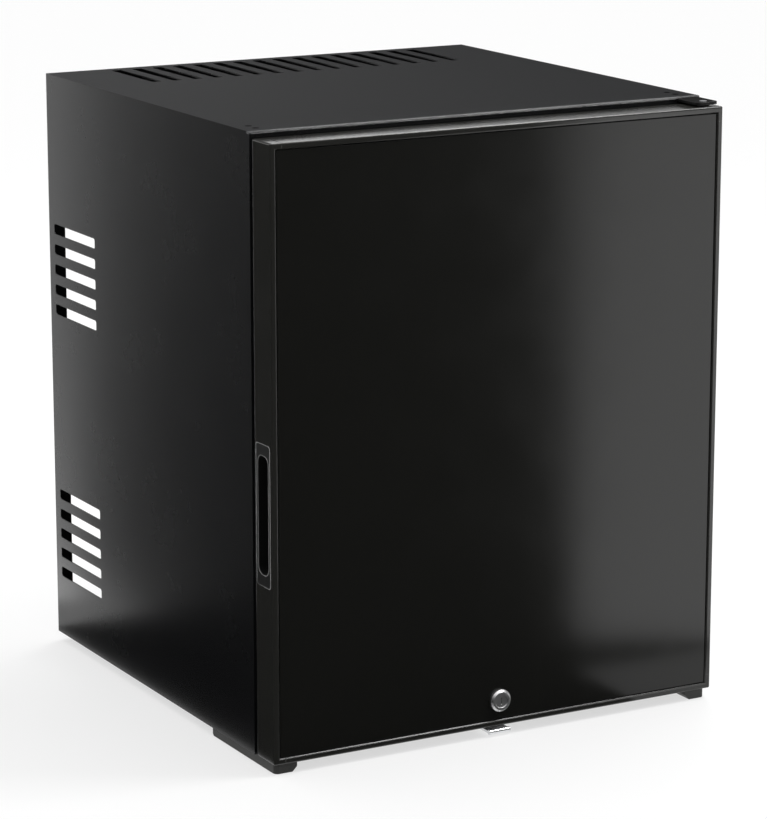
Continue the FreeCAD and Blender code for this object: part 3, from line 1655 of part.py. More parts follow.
def absorber_coil(vessel):
    """The tube that zigzags up from the drum and ends at the boiler canister."""
    right = size.vessel_offset + size.coil_span / 2
    left = size.vessel_offset - size.coil_span / 2
    z = vessel_z + size.vessel_radius + size.coil_rise
    points = [(right, vessel_y, vessel_z), (right, vessel_y, z)]
    for _ in range(int(size.coil_turns.value)):
        points.append((left, vessel_y, z))
        points.append((left, vessel_y, z + size.coil_pitch))
        points.append((right, vessel_y, z + size.coil_pitch))
        points.append((right, vessel_y, z + size.coil_pitch * 2))
        z = z + size.coil_pitch * 2
    points.append((boiler_x + size.boiler_radius / 2, vessel_y, z))
    run = tube("coil_run", size.coil_radius, points, size.coil_bend)
    canister = boiler_round("coil_end_cut", size.boiler_radius, boiler_bottom, size.boiler_height)
    return cut("absorber_coil", run, [vessel, canister])


def liquid_line(vessel):
    """The small tube from the foot of the boiler to the drum."""
    start_z = boiler_bottom - size.boiler_tube_tail
    points = [
        (boiler_x, boiler_y, start_z), (boiler_x, boiler_y, vessel_z),
        (vessel_start + size.vessel_dome, vessel_y, vessel_z),
    ]
    run = tube("line_run", size.line_radius, points, size.line_bend)
    return cut("liquid_line", run, [vessel])


def drum_angle():
    """The angle on the bulkhead that carries the drum."""
    low_x = size.vessel_offset - size.bracket_width / 2
    high_x = size.vessel_offset + size.bracket_width / 2
    low_z = bottom + size.sheet
    leg = block(
        "bracket_leg", (low_x, bulkhead_rear, low_z),
        (high_x, bulkhead_rear + size.bracket_sheet, low_z + size.bracket_height),
    )
    shelf_part = block(
        "bracket_shelf", (low_x, bulkhead_rear, low_z),
        (high_x, vessel_y + size.bracket_reach, low_z + size.bracket_sheet),
    )
    return fuse("drum_angle", [leg, shelf_part])


def boiler_clamp():
    """The block that holds the canister to the bulkhead."""
    side = size.clamp_width / 2
    low_z = (boiler_bottom + boiler_top - size.clamp_height) / 2
    bar = block(
        "clamp_bar", (boiler_x - side, bulkhead_rear, low_z),
        (boiler_x + side, boiler_y, low_z + size.clamp_height),
    )
    canister = boiler_round("clamp_cut", size.boiler_radius, boiler_bottom, size.boiler_height)
    return cut("boiler_clamp", bar, [canister])


control_bottom = top - size.control_drop - size.control_height
control_back = bulkhead_rear + size.control_depth
gland_x = size.control_left + size.control_width / 2
gland_z = control_bottom + size.gland_flange_radius + size.gland_flange


def control_box():
    """The box of the electronics, on the bulkhead."""
    wall = size.control_wall
    low = (size.control_left, bulkhead_rear, control_bottom)
    high = (size.control_left + size.control_width, control_back, control_bottom + size.control_height)
    shell = block("control_shell", low, high)
    room = block(
        "control_room", (low[0] + wall, bulkhead_rear - size.overrun, control_bottom + wall),
        (high[0] - wall, control_back - wall, high[2] - wall),
    )
    hole = rod(
        "control_gland_hole", size.gland_radius + size.seat_clearance,
        (gland_x, control_back - wall - size.overrun, gland_z), wall + size.overrun * 2, "y",
    )
    return cut("control_box", shell, [room, hole])


def cord_gland():
    """The bush in the control box for the mains lead."""
    wall = size.control_wall
    points = [
        (size.gland_bore_radius, 0),
        (size.gland_radius, 0),
        (size.gland_radius, wall),
        (size.gland_flange_radius, wall),
        (size.gland_flange_radius, wall + size.gland_flange),
        (size.gland_radius, wall + size.gland_flange),
        (size.gland_radius, wall + size.gland_length),
        (size.gland_bore_radius, wall + size.gland_length),
    ]
    return turned("cord_gland", points, (gland_x, control_back - wall, gland_z), "y")


def build():
    """Makes every piece of the minibar and returns them."""
    vessel = absorber_vessel()
    return [
        side_panel("left_side_panel", -1),
        side_panel("right_side_panel", 1),
        top_panel(),
        base_panel(),
        front_frame(),
        rear_bulkhead(),
        rear_brace(),
        cabinet_foam(),
        inner_liner(),
        shelf("lower_shelf", 0),
        shelf("upper_shelf", 2),
        cooling_plate(),
        drip_trough(),
        drain_tube(),
        control_housing(),
        lamp_lens(),
        lamp_board(),
        thermostat_knob(),
        reed_switch(),
        top_hinge_plate(),
        hinge_leaf("hinge_blank", -1, front),
        top_hinge_pin(),
        bottom_hinge_pin(),
        front_foot("left_front_foot", -1),
        front_foot("right_front_foot", 1),
        rear_feet(),
        body_screws(),
        lock_keeper(),
        vessel,
        gas_exchanger(vessel),
        absorber_coil(vessel),
        liquid_line(vessel),
        boiler_casing(),
        boiler_wool(),
        boiler_tube(),
        heater_cartridge(),
        condenser_tube(),
        condenser_fins(),
        group("unit_brackets", [drum_angle(), boiler_clamp()]),
        control_box(),
        cord_gland(),
        door_rail("door_top_rail", door_top, rail_high_bottom, -1),
        door_bottom_rail(),
        door_left_stile(),
        door_stile("door_right_stile", 1),
        door_front_panel(),
        door_foam(),
        door_liner(),
        door_gasket(),
        gasket_magnets(),
        handle_cup(),
        hinge_bushes(),
        switch_magnet(),
        lock_barrel(),
        lock_nut(),
        lock_box(),
        door_rack("lower"),
        door_rack("upper"),
        lock_plug(),
        lock_cam(),
    ]


def write(pieces):
    """Checks the whole document, then writes one file for each piece."""
    doc.recompute()
    for item in doc.Objects:
        if "Invalid" in item.State or "Error" in item.State:
            raise ValueError(f"{item.Label} failed: {item.State}")
    for piece in pieces:
        if piece.Shape.isNull() or not piece.Shape.isValid():
            raise ValueError(f"{piece.Label} has no valid shape")
    os.makedirs("parts", exist_ok=True)
    for piece in pieces:
        piece.Shape.exportStep(f"parts/{piece.Label}.step")


write(build())
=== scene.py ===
# %% [markdown]
# # A hotel minibar, dressed in Blender
# The fridge comes in as a finished assembly of solids: cabinet, door, racks, shelves and cooling unit. This lesson
# gives each solid its finish, adds the few soft or fine pieces that solids don't show well, and sets a plain studio
# round it. The frame of the solids is never moved; everything is in metres, with the door towards -Y.

# %% Load the assembly
import json
import math

import bmesh
import bpy
from mathutils import Matrix, Vector


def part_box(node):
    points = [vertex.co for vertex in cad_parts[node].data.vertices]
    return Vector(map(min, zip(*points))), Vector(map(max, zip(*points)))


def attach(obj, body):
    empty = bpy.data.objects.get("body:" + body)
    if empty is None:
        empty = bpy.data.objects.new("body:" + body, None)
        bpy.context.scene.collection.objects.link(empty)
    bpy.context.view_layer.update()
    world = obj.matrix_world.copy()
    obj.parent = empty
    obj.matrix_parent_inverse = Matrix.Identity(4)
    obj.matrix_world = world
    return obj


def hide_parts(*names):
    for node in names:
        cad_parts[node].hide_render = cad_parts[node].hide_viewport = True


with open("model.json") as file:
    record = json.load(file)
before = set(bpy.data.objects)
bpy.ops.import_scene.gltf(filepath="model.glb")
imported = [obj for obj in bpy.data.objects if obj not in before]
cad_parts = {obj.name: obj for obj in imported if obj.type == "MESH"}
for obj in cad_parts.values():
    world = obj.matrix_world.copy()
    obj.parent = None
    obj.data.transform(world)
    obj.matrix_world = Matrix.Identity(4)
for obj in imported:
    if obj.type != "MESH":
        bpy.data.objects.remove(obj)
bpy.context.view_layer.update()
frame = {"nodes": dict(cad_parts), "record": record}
nodes = frame["nodes"]
scene = bpy.context.scene

# %% [markdown]
# ## Camera
# The photograph looks slightly down on the left front corner from a few metres away with a long lens, so the upright
# edges stay nearly parallel. The place, the aim and the focal length come from fitting a pinhole camera to the corners
# of the cabinet and of the door, so nothing is left to the eye.

# %% Camera
CAMERA_PLACE = (-1.3206, -2.38905, 0.8662)
CAMERA_AIM = (0.47290, 0.85087, -0.22888)


def looking(direction):
    """The turn that points a camera or a lamp, which both look along their own -Z, in a direction."""
    return Vector(direction).to_track_quat("-Z", "Y").to_euler()


camera_data = bpy.data.cameras.new("photo_camera")
camera_data.sensor_width = 36.0
camera_data.lens = 148.54
camera_data.dof.use_dof = False
camera = bpy.data.objects.new("photo_camera", camera_data)
camera.location = CAMERA_PLACE
camera.rotation_euler = looking(CAMERA_AIM)
scene.collection.objects.link(camera)
scene.camera = camera
scene.view_settings.view_transform = "Standard"
print("camera at", CAMERA_PLACE, "lens", camera_data.lens)

# %% [markdown]
# ## Studio
# A black satin object is drawn by what it mirrors, so the studio is built for its reflections. The floor comes first:
# a wide white sheet, which the eye rays see partly as a glow of strength 1. It stays white into the distance that way,
# and still takes the fridge's shadow, which a plain white background would lose.

# %% Floor
FLOOR_HALF = 30.0
FLOOR_GLOW = 0.65


def wire(tree, source, target):
    tree.links.new(source, target)


def maths(tree, operation, first, second):
    """One step of arithmetic in a node tree. Each input is a number or another node's output."""
    node = tree.nodes.new("ShaderNodeMath")
    node.operation = operation
    for socket, value in zip(node.inputs, (first, second)):
        if isinstance(value, (int, float)):
            socket.default_value = value
        else:
            wire(tree, value, socket)
    return node.outputs[0]


def matt(name, grey):
    """A plain material without any shine, and its node tree."""
    material = bpy.data.materials.new(name)
    material.use_nodes = True
    shader = material.node_tree.nodes["Principled BSDF"]
    shader.inputs["Base Color"].default_value = (grey, grey, grey, 1.0)
    shader.inputs["Specular IOR Level"].default_value = 0.0
    return material, material.node_tree


def sheet(name, low, high, level, material):
    """A flat rectangle between two corners, linked into the scene."""
    mesh = bpy.data.meshes.new(name)
    shape = bmesh.new()
    middle = Matrix.Translation(((low[0] + high[0]) / 2, (low[1] + high[1]) / 2, level))
    spread = Matrix.Diagonal((high[0] - low[0], high[1] - low[1], 1.0, 1.0))
    bmesh.ops.create_grid(shape, x_segments=1, y_segments=1, size=0.5, matrix=middle @ spread)
    shape.to_mesh(mesh)
    shape.free()
    mesh.materials.append(material)
    board = bpy.data.objects.new(name, mesh)
    scene.collection.objects.link(board)
    return board


floor_paint, floor_tree = matt("floor_sheet", 0.9)
floor_shader = floor_tree.nodes["Principled BSDF"]
floor_shader.inputs["Roughness"].default_value = 0.9
floor_rays = floor_tree.nodes.new("ShaderNodeLightPath").outputs
seen = maths(floor_tree, "MAXIMUM", floor_rays["Is Camera Ray"], floor_rays["Is Glossy Ray"])
seen = maths(floor_tree, "MAXIMUM", seen, floor_rays["Is Transmission Ray"])
floor_mix = floor_tree.nodes.new("ShaderNodeMixShader")
wire(floor_tree, maths(floor_tree, "MULTIPLY", seen, FLOOR_GLOW), floor_mix.inputs["Fac"])
wire(floor_tree, floor_shader.outputs[0], floor_mix.inputs[1])
wire(floor_tree, floor_tree.nodes.new("ShaderNodeEmission").outputs[0], floor_mix.inputs[2])
wire(floor_tree, floor_mix.outputs[0], floor_tree.nodes["Material Output"].inputs["Surface"])
sheet("studio_floor", (-FLOOR_HALF, -FLOOR_HALF), (FLOOR_HALF, FLOOR_HALF), 0.0, floor_paint)
print("floor:", 2 * FLOOR_HALF, "m square")

# %% [markdown]
# A hazy sun lights everything alike, and four soft lamps draw the fridge: two high on the right for the bright upper
# edges, a low one near the hinge side whose reflection fades across the door, and a low one behind the left side that
# fades along the side panel. The two low ones stand close by, so they are seen in mirrored rays only, as a
# photographer's cards are, and the opened door isn't lit by them.

# %% Lamps
def soft_lamp(name, place, target, width, height, radiance, mirrored_only=False):
    """A soft box of a given brightness: its power follows from its area."""
    data = bpy.data.lights.new(name, "AREA")
    data.shape = "RECTANGLE"
    data.size = width
    data.size_y = height
    data.energy = radiance * math.pi * width * height
    lamp = bpy.data.objects.new(name, data)
    lamp.location = place
    lamp.rotation_euler = looking(Vector(target) - Vector(place))
    lamp.visible_camera = False
    lamp.visible_diffuse = not mirrored_only
    lamp.visible_transmission = not mirrored_only
    scene.collection.objects.link(lamp)


soft_lamp("edge_lamp", (0.95, -0.60, 1.95), (0.0, 0.0, 0.4), 0.6, 0.6, 16.0)
soft_lamp("rear_edge_lamp", (0.90, 1.00, 1.85), (0.0, -0.17, 0.49), 0.6, 0.6, 8.0)
soft_lamp("door_lamp", (0.425, -0.49, 0.2375), (0.05, 0.128, 0.9275), 0.30, 0.64, 1.9, mirrored_only=True)
soft_lamp("side_lamp", (-0.224, 0.586, 0.25), (0.056, -0.058, 0.95), 0.30, 0.70, 1.3, mirrored_only=True)
haze = bpy.data.lights.new("hazy_sun", "SUN")
haze.energy = 0.9
haze.angle = math.radians(60.0)
sun = bpy.data.objects.new("hazy_sun", haze)
sun.rotation_euler = looking((-0.25, -0.35, -1.0))
scene.collection.objects.link(sun)

# %% [markdown]
# A photographer keeps black surfaces black with flags: dark cards that the surface mirrors in place of the white floor.
# The cards lie on the floor, before the door and beside the left side, and leave white gaps where the photograph shows
# a bright foot of the door and of the side. Only mirrored rays meet them, so the floor itself stays white and evenly
# lit.

# %% Flags
FLAG_LEVEL = 0.002
flag_black, _ = matt("flag_black", 0.004)
for flag_name, flag_low, flag_high in (
    ("front_flag", (-9.0, -9.0), (9.0, -0.31)),
    ("front_foot_flag", (-0.45, -0.31), (0.14, -0.215)),
    ("left_flag", (-9.0, -0.3), (-0.30, 9.0)),
    ("left_foot_flag", (-0.30, -0.3), (-0.212, 0.235)),
):
    flag = sheet(flag_name, flag_low, flag_high, FLAG_LEVEL, flag_black)
    flag.visible_camera = False
    flag.visible_diffuse = False
    flag.visible_shadow = False
    print(flag_name, flag_low, flag_high)

# %% [markdown]
# The world is dark low down for the same reason, but for one bright band behind the fridge: the smooth door frame
# mirrors it as a bright line, and the rougher cabinet top only as a faint sheen that fades to the right. Seen straight
# or through clear plastic, the world is plain white, as the floor is.

# %% World
world = bpy.data.worlds.new("studio_world")
scene.world = world
world.use_nodes = True
sky = world.node_tree
look = sky.nodes.new("ShaderNodeSeparateXYZ")
wire(sky, sky.nodes.new("ShaderNodeTexCoord").outputs["Generated"], look.inputs[0])


def ramp(axis, start, end, low, high):
    """A smooth step of the world's strength along one axis of the view direction."""
    node = sky.nodes.new("ShaderNodeMapRange")
    node.interpolation_type = "SMOOTHSTEP"
    for word, value in (("From Min", start), ("From Max", end), ("To Min", low), ("To Max", high)):
        node.inputs[word].default_value = value
    wire(sky, look.outputs[axis], node.inputs["Value"])
    return node.outputs[0]


band = maths(sky, "MULTIPLY", ramp("Z", 0.04, 0.09, 0.0, 2.4), ramp("Z", 0.16, 0.24, 1.0, 0.0))
band = maths(sky, "MULTIPLY", band, ramp("X", 0.36, 0.54, 1.1, 0.25))
band = maths(sky, "MULTIPLY", band, ramp("Y", 0.3, 0.6, 0.0, 1.0))
overhead = ramp("Z", 0.32, 0.85, 0.04, 1.15)
sky_rays = sky.nodes.new("ShaderNodeLightPath").outputs
straight = maths(sky, "MAXIMUM", sky_rays["Is Camera Ray"], sky_rays["Is Transmission Ray"])
backdrop = sky.nodes["Background"]
backdrop.inputs["Color"].default_value = (1.0, 1.0, 1.0, 1.0)
wire(sky, maths(sky, "MAXIMUM", maths(sky, "ADD", band, overhead), straight), backdrop.inputs["Strength"])
print("world nodes:", len(sky.nodes))

# %% [markdown]
# ## Shared effects
# Paint, moulded plastic and drawn metal each have a grain of their own. It returns in many finishes, so each kind is
# built once as a node group that puts out plain values, and each finish sets its own scale. A painted picture of the
# grain would blur close up; noise on the object's own coordinates stays sharp and needs no unwrapping.

# %% Grain groups
def new_group(name, inputs, outputs):
    group = bpy.data.node_groups.new(name, "ShaderNodeTree")
    for word, kind, value in inputs:
        socket = group.interface.new_socket(name=word, in_out="INPUT", socket_type=kind)
        if value is not None:
            socket.default_value = value
    for word, kind in outputs:
        group.interface.new_socket(name=word, in_out="OUTPUT", socket_type=kind)
    return group, group.nodes.new("NodeGroupInput"), group.nodes.new("NodeGroupOutput")


GRAIN_INPUTS = [("Vector", "NodeSocketVector", None), ("Scale", "NodeSocketFloat", 900.0)]
GRAIN_OUTPUTS = [("Fine", "NodeSocketFloat"), ("Broad", "NodeSocketFloat")]


def grain_group(name, fine_type, detail, broad_share):
    """Fine is the surface's own texture, Broad a slow cloud that stands for handling and uneven curing."""
    group, start, end = new_group(name, GRAIN_INPUTS, GRAIN_OUTPUTS)
    fine = group.nodes.new(fine_type)
    wire(group, start.outputs["Vector"], fine.inputs["Vector"])
    wire(group, start.outputs["Scale"], fine.inputs["Scale"])
    fine.inputs["Detail"].default_value = detail
    wire(group, fine.outputs[0], end.inputs["Fine"])
    broad = group.nodes.new("ShaderNodeTexNoise")
    wire(group, start.outputs["Vector"], broad.inputs["Vector"])
    wire(group, maths(group, "MULTIPLY", start.outputs["Scale"], broad_share), broad.inputs["Scale"])
    broad.inputs["Detail"].default_value = 4.0
    broad.inputs["Roughness"].default_value = 0.62
    wire(group, broad.outputs[0], end.inputs["Broad"])
    return group


grains = {
    "peel": grain_group("sprayed_peel", "ShaderNodeTexNoise", 2.0, 0.011),
    "pebble": grain_group("moulded_pebble", "ShaderNodeTexVoronoi", 0.0, 0.012),
    "drawn": grain_group("drawn_lines", "ShaderNodeTexNoise", 3.0, 0.04),
    "cells": grain_group("open_cells", "ShaderNodeTexVoronoi", 1.0, 0.05),
}
print("grains:", list(grains))

# %% [markdown]
# Every hard edge on a used appliance is a little rounded and rubbed. The bevel node gives the normal that a rounded
# edge would have; where it turns away from the true normal, there is an edge, and the mask says how much. The finishes
# lighten the colour under this mask, which is partly rubbed wear and partly a painted highlight along the edge. Cutting
# real fillets into every solid would show the same line at many times the triangles.

# %% Edge group
EDGE_STRENGTH = 5.0
edge_group, edge_start, edge_end = new_group(
    "rubbed_and_highlit_edge",
    [("Radius", "NodeSocketFloat", 0.0006), ("Amount", "NodeSocketFloat", 0.5), ("Break", "NodeSocketFloat", 0.5)],
    [("Mask", "NodeSocketFloat"), ("Normal", "NodeSocketVector")],
)
rounding = edge_group.nodes.new("ShaderNodeBevel")
rounding.samples = 6
wire(edge_group, edge_start.outputs["Radius"], rounding.inputs["Radius"])
agree = edge_group.nodes.new("ShaderNodeVectorMath")
agree.operation = "DOT_PRODUCT"
wire(edge_group, rounding.outputs["Normal"], agree.inputs[0])
wire(edge_group, edge_group.nodes.new("ShaderNodeNewGeometry").outputs["Normal"], agree.inputs[1])
turn = maths(edge_group, "SUBTRACT", 1.0, agree.outputs["Value"])
strong = maths(edge_group, "MULTIPLY", turn, EDGE_STRENGTH)
broken = maths(edge_group, "MULTIPLY", strong, edge_start.outputs["Break"])
mask = edge_group.nodes.new("ShaderNodeClamp")
wire(edge_group, maths(edge_group, "MULTIPLY", broken, edge_start.outputs["Amount"]), mask.inputs["Value"])
wire(edge_group, mask.outputs[0], edge_end.inputs["Mask"])
wire(edge_group, rounding.outputs["Normal"], edge_end.inputs["Normal"])
print("edge group:", len(edge_group.nodes), "nodes")

# %% [markdown]
# Dust and cleaning leave a dull film on faces that look up. It could be painted on each top, but a mask from the
# height of the true normal finds such faces by itself, and leaves out the edges that are rubbed clean.

# %% Film group
FILM_START = 0.6
FILM_FULL = 0.95
film_group, film_start, film_end = new_group(
    "upward_film", [("Worn", "NodeSocketFloat", 0.0)], [("Mask", "NodeSocketFloat")]
)
facing = film_group.nodes.new("ShaderNodeSeparateXYZ")
wire(film_group, film_group.nodes.new("ShaderNodeNewGeometry").outputs["True Normal"], facing.inputs[0])
upward = film_group.nodes.new("ShaderNodeMapRange")
upward.interpolation_type = "SMOOTHSTEP"
upward.inputs["From Min"].default_value = FILM_START
upward.inputs["From Max"].default_value = FILM_FULL
wire(film_group, facing.outputs["Z"], upward.inputs["Value"])
kept = maths(film_group, "SUBTRACT", 1.0, film_start.outputs["Worn"])
wire(film_group, maths(film_group, "MULTIPLY", upward.outputs[0], kept), film_end.inputs["Mask"])
print("film group:", len(film_group.nodes), "nodes")

# %% [markdown]
# ## Finishes
# One recipe makes every finish: the broad cloud shifts colour and roughness a little, the fine grain drives a bump,
# and the edge group rounds and rubs the edges and lightens them, partly as wear and partly as a painted highlight. What
# differs is the numbers, and those are what makes powder coat, moulded plastic, zinc or bare aluminium look like
# themselves. Each finish gives its grain, colour and roughness, and then, where they matter, metal, gloss (the specular
# level), grain size per metre and depth, the spread of roughness and of colour, how the grain is stretched, the worn
# edge with its radius and amount, the lighter colour that shows on the edge as wear and painted highlight, how clear it
# is, and the film's roughness and gloss.

# %% Finish recipe
WORN_ROUGH = 0.24
WORN_GLOSS = 0.9
CLOUD_LOW = 0.3
CLOUD_HIGH = 0.7


def blended(tree, factor, first, second):
    """A value that goes from the first to the second as the factor goes from 0 to 1."""
    node = tree.nodes.new("ShaderNodeMix")
    wire(tree, factor, node.inputs[0])
    for socket, value in ((node.inputs[2], first), (node.inputs[3], second)):
        if isinstance(value, (int, float)):
            socket.default_value = value
        else:
            wire(tree, value, socket)
    return node.outputs[0]


def group_node(tree, group):
    node = tree.nodes.new("ShaderNodeGroup")
    node.node_tree = group
    return node


def finish(name, grain, colour, rough, metal=0.0, gloss=0.5, scale=900.0, depth=0.00002, spread=0.08, shade=0.12,
           stretch=(1.0, 1.0, 1.0), edge=(0.0005, 0.3), wear_and_highlight=None, clear=0.0, film=None):
    """A procedural material made from the shared groups."""
    material = bpy.data.materials.new(name)
    material.use_nodes = True
    tree = material.node_tree
    shader = tree.nodes["Principled BSDF"]
    turned = tree.nodes.new("ShaderNodeMapping")
    turned.inputs["Scale"].default_value = stretch
    wire(tree, tree.nodes.new("ShaderNodeTexCoord").outputs["Object"], turned.inputs["Vector"])
    texture = group_node(tree, grains[grain])
    texture.inputs["Scale"].default_value = scale
    wire(tree, turned.outputs[0], texture.inputs["Vector"])
    edges = group_node(tree, edge_group)
    edges.inputs["Radius"].default_value = edge[0]
    edges.inputs["Amount"].default_value = edge[1]
    wire(tree, texture.outputs["Broad"], edges.inputs["Break"])

    tint = tree.nodes.new("ShaderNodeMix")
    tint.data_type = "RGBA"
    wire(tree, texture.outputs["Broad"], tint.inputs["Factor"])
    for socket, share in ((tint.inputs[6], 1.0 - shade), (tint.inputs[7], 1.0 + shade)):
        socket.default_value = [min(1.0, channel * share) for channel in colour] + [1.0]
    # The edge mask lightens the colour: partly rubbed wear, partly a painted highlight line along the edge.
    rubbed_and_highlit = tree.nodes.new("ShaderNodeMix")
    rubbed_and_highlit.data_type = "RGBA"
    wire(tree, edges.outputs["Mask"], rubbed_and_highlit.inputs["Factor"])
    wire(tree, tint.outputs[2], rubbed_and_highlit.inputs[6])
    rubbed_and_highlit.inputs[7].default_value = list(wear_and_highlight or [min(1.0, channel * 1.8 + 0.02) for channel in colour]) + [1.0]
    wire(tree, rubbed_and_highlit.outputs[2], shader.inputs["Base Color"])

    polish = tree.nodes.new("ShaderNodeMapRange")
    wire(tree, texture.outputs["Broad"], polish.inputs["Value"])
    polish.inputs["From Min"].default_value = CLOUD_LOW
    polish.inputs["From Max"].default_value = CLOUD_HIGH
    polish.inputs["To Min"].default_value = max(0.02, rough - spread)
    polish.inputs["To Max"].default_value = min(1.0, rough + spread)
    dulled = polish.outputs[0]
    shine = gloss
    if film:
        dull = group_node(tree, film_group)
        wire(tree, edges.outputs["Mask"], dull.inputs["Worn"])
        dulled = blended(tree, dull.outputs["Mask"], dulled, film[0])
        shine = blended(tree, dull.outputs["Mask"], gloss, film[1])
    wire(tree, blended(tree, edges.outputs["Mask"], dulled, min(rough, WORN_ROUGH)), shader.inputs["Roughness"])
    wire(tree, blended(tree, edges.outputs["Mask"], shine, WORN_GLOSS), shader.inputs["Specular IOR Level"])

    relief = tree.nodes.new("ShaderNodeBump")
    relief.inputs["Distance"].default_value = depth
    wire(tree, texture.outputs["Fine"], relief.inputs["Height"])
    wire(tree, edges.outputs["Normal"], relief.inputs["Normal"])
    wire(tree, relief.outputs["Normal"], shader.inputs["Normal"])
    shader.inputs["Metallic"].default_value = metal
    shader.inputs["Transmission Weight"].default_value = clear
    return material


print("the recipe takes the grains", list(grains))

# %% [markdown]
# The outside is nearly all black, and each black is another: sprayed paint on steel, a thinner coat on the base,
# moulded feet, rubber pads, blackened screws. Their colours lie close together, so gloss and grain tell them apart.

# %% Cabinet finishes
finishes = {
    # The cabinet paint's light edge colour is mostly a painted highlight, drawing the bright line on the upper front
    # fold.
    "cabinet_paint": finish("satin_black_powder_coat", "peel", (0.0058, 0.0060, 0.0066), 0.27, gloss=0.35, scale=1500.0,
                            depth=0.00001, spread=0.008, shade=0.04, edge=(0.0045, 1.0), wear_and_highlight=(0.20, 0.20, 0.205),
                            film=(0.45, 0.014)),
    "base_steel": finish("black_painted_sheet", "peel", (0.02, 0.02, 0.02), 0.55, gloss=0.3, scale=1100.0,
                         edge=(0.0005, 0.6), wear_and_highlight=(0.14, 0.14, 0.14)),
    "hinge_steel": finish("black_hinge_plate", "peel", (0.010, 0.010, 0.010), 0.5, gloss=0.2, scale=1300.0,
                          edge=(0.0004, 0.8), wear_and_highlight=(0.16, 0.16, 0.16), film=(0.8, 0.01)),
    "pin_steel": finish("oiled_pin", "drawn", (0.24, 0.24, 0.25), 0.34, metal=1.0, scale=1800.0,
                        stretch=(0.03, 0.03, 1.0), depth=0.00001, film=(0.8, 0.2)),
    "screw_black": finish("blackened_screw", "drawn", (0.002, 0.002, 0.002), 0.42, gloss=0.15, scale=1500.0,
                          edge=(0.0002, 0.2), wear_and_highlight=(0.03, 0.03, 0.03), film=(0.8, 0.0)),
    "foot_plastic": finish("moulded_foot", "pebble", (0.022, 0.022, 0.020), 0.5, gloss=0.4, scale=1500.0,
                           depth=0.00004, edge=(0.0008, 0.5), wear_and_highlight=(0.07, 0.07, 0.065)),
    "foot_rubber": finish("rubber_pad", "pebble", (0.018, 0.018, 0.018), 0.8, gloss=0.25, scale=1300.0, depth=0.00005),
    "zinc_plate": finish("bright_zinc", "drawn", (0.78, 0.79, 0.80), 0.22, metal=1.0, scale=1200.0,
                         stretch=(0.05, 1.0, 1.0), depth=0.00001, edge=(0.0005, 0.4), wear_and_highlight=(0.92, 0.92, 0.92)),
    "foam": finish("rigid_foam", "cells", (0.72, 0.56, 0.30), 0.95, gloss=0.1, scale=700.0, depth=0.0005, shade=0.2),
}
print("finishes so far:", len(finishes))

# %% [markdown]
# Inside, the liner is one thermoformed grey sheet, the shelves are dipped wire, the racks clear plastic, and the
# cold plate is bare extruded aluminium with lines along its fins.

# %% Inside finishes
finishes.update({
    "liner_plastic": finish("moulded_grey_liner", "pebble", (0.60, 0.61, 0.62), 0.34, scale=1100.0, depth=0.00002,
                            shade=0.03, edge=(0.0008, 0.2), wear_and_highlight=(0.72, 0.73, 0.74)),
    "wire_coating": finish("dipped_white_wire", "peel", (0.78, 0.79, 0.80), 0.3, scale=600.0, depth=0.00006,
                           shade=0.05, edge=(0.0004, 0.2)),
    "bare_aluminium": finish("extruded_aluminium", "drawn", (0.72, 0.73, 0.74), 0.36, metal=1.0, scale=1400.0,
                             stretch=(1.0, 1.0, 0.02), depth=0.00002, edge=(0.0004, 0.4), wear_and_highlight=(0.88, 0.88, 0.88)),
    "drain_plastic": finish("soft_drain_tube", "peel", (0.55, 0.57, 0.60), 0.4, scale=500.0, shade=0.06),
    "lens_plastic": finish("milky_lens", "pebble", (0.86, 0.86, 0.82), 0.3, scale=700.0, depth=0.00008, shade=0.03),
    "board": finish("circuit_board", "pebble", (0.02, 0.16, 0.07), 0.45, scale=900.0, shade=0.25),
    "knob_plastic": finish("moulded_knob", "pebble", (0.70, 0.71, 0.72), 0.42, scale=1600.0, depth=0.00002,
                           shade=0.04, edge=(0.0005, 0.3)),
    "rack_plastic": finish("clear_rack", "peel", (0.86, 0.89, 0.91), 0.1, scale=300.0, depth=0.00003, spread=0.04,
                           shade=0.03, clear=0.85),
})
print("finishes so far:", len(finishes))

# %% [markdown]
# The absorption unit behind is tube and sheet: baked black paint on the tubes, a galvanised boiler casing with its
# spangle, thin bright fins and a moulded control box.

# %% Cooling unit finishes
finishes.update({
    "unit_paint": finish("black_baked_tube", "peel", (0.016, 0.016, 0.016), 0.36, gloss=0.4, scale=700.0,
                         depth=0.00006, edge=(0.0005, 0.4), wear_and_highlight=(0.12, 0.11, 0.10)),
    "canister_steel": finish("galvanised_sheet", "cells", (0.50, 0.52, 0.54), 0.38, metal=1.0, scale=160.0,
                             depth=0.000004, shade=0.18, edge=(0.0005, 0.3)),
    "mineral_wool": finish("packed_wool", "drawn", (0.55, 0.46, 0.22), 0.95, gloss=0.1, scale=1500.0,
                           stretch=(1.0, 0.2, 0.2), depth=0.0006, shade=0.25),
    "heater_steel": finish("heater_sheath", "drawn", (0.42, 0.40, 0.38), 0.35, metal=1.0, scale=1500.0,
                           stretch=(1.0, 1.0, 0.05)),
    "fin_aluminium": finish("thin_fin_sheet", "drawn", (0.68, 0.69, 0.71), 0.32, metal=1.0, scale=1300.0,
                            stretch=(1.0, 0.04, 1.0), depth=0.00001, edge=(0.0003, 0.5), wear_and_highlight=(0.88, 0.88, 0.88)),
    "box_plastic": finish("moulded_black_box", "pebble", (0.022, 0.022, 0.022), 0.48, gloss=0.4, scale=1200.0,
                          depth=0.00005, edge=(0.0006, 0.4), wear_and_highlight=(0.08, 0.08, 0.08)),
})
print("finishes so far:", len(finishes))
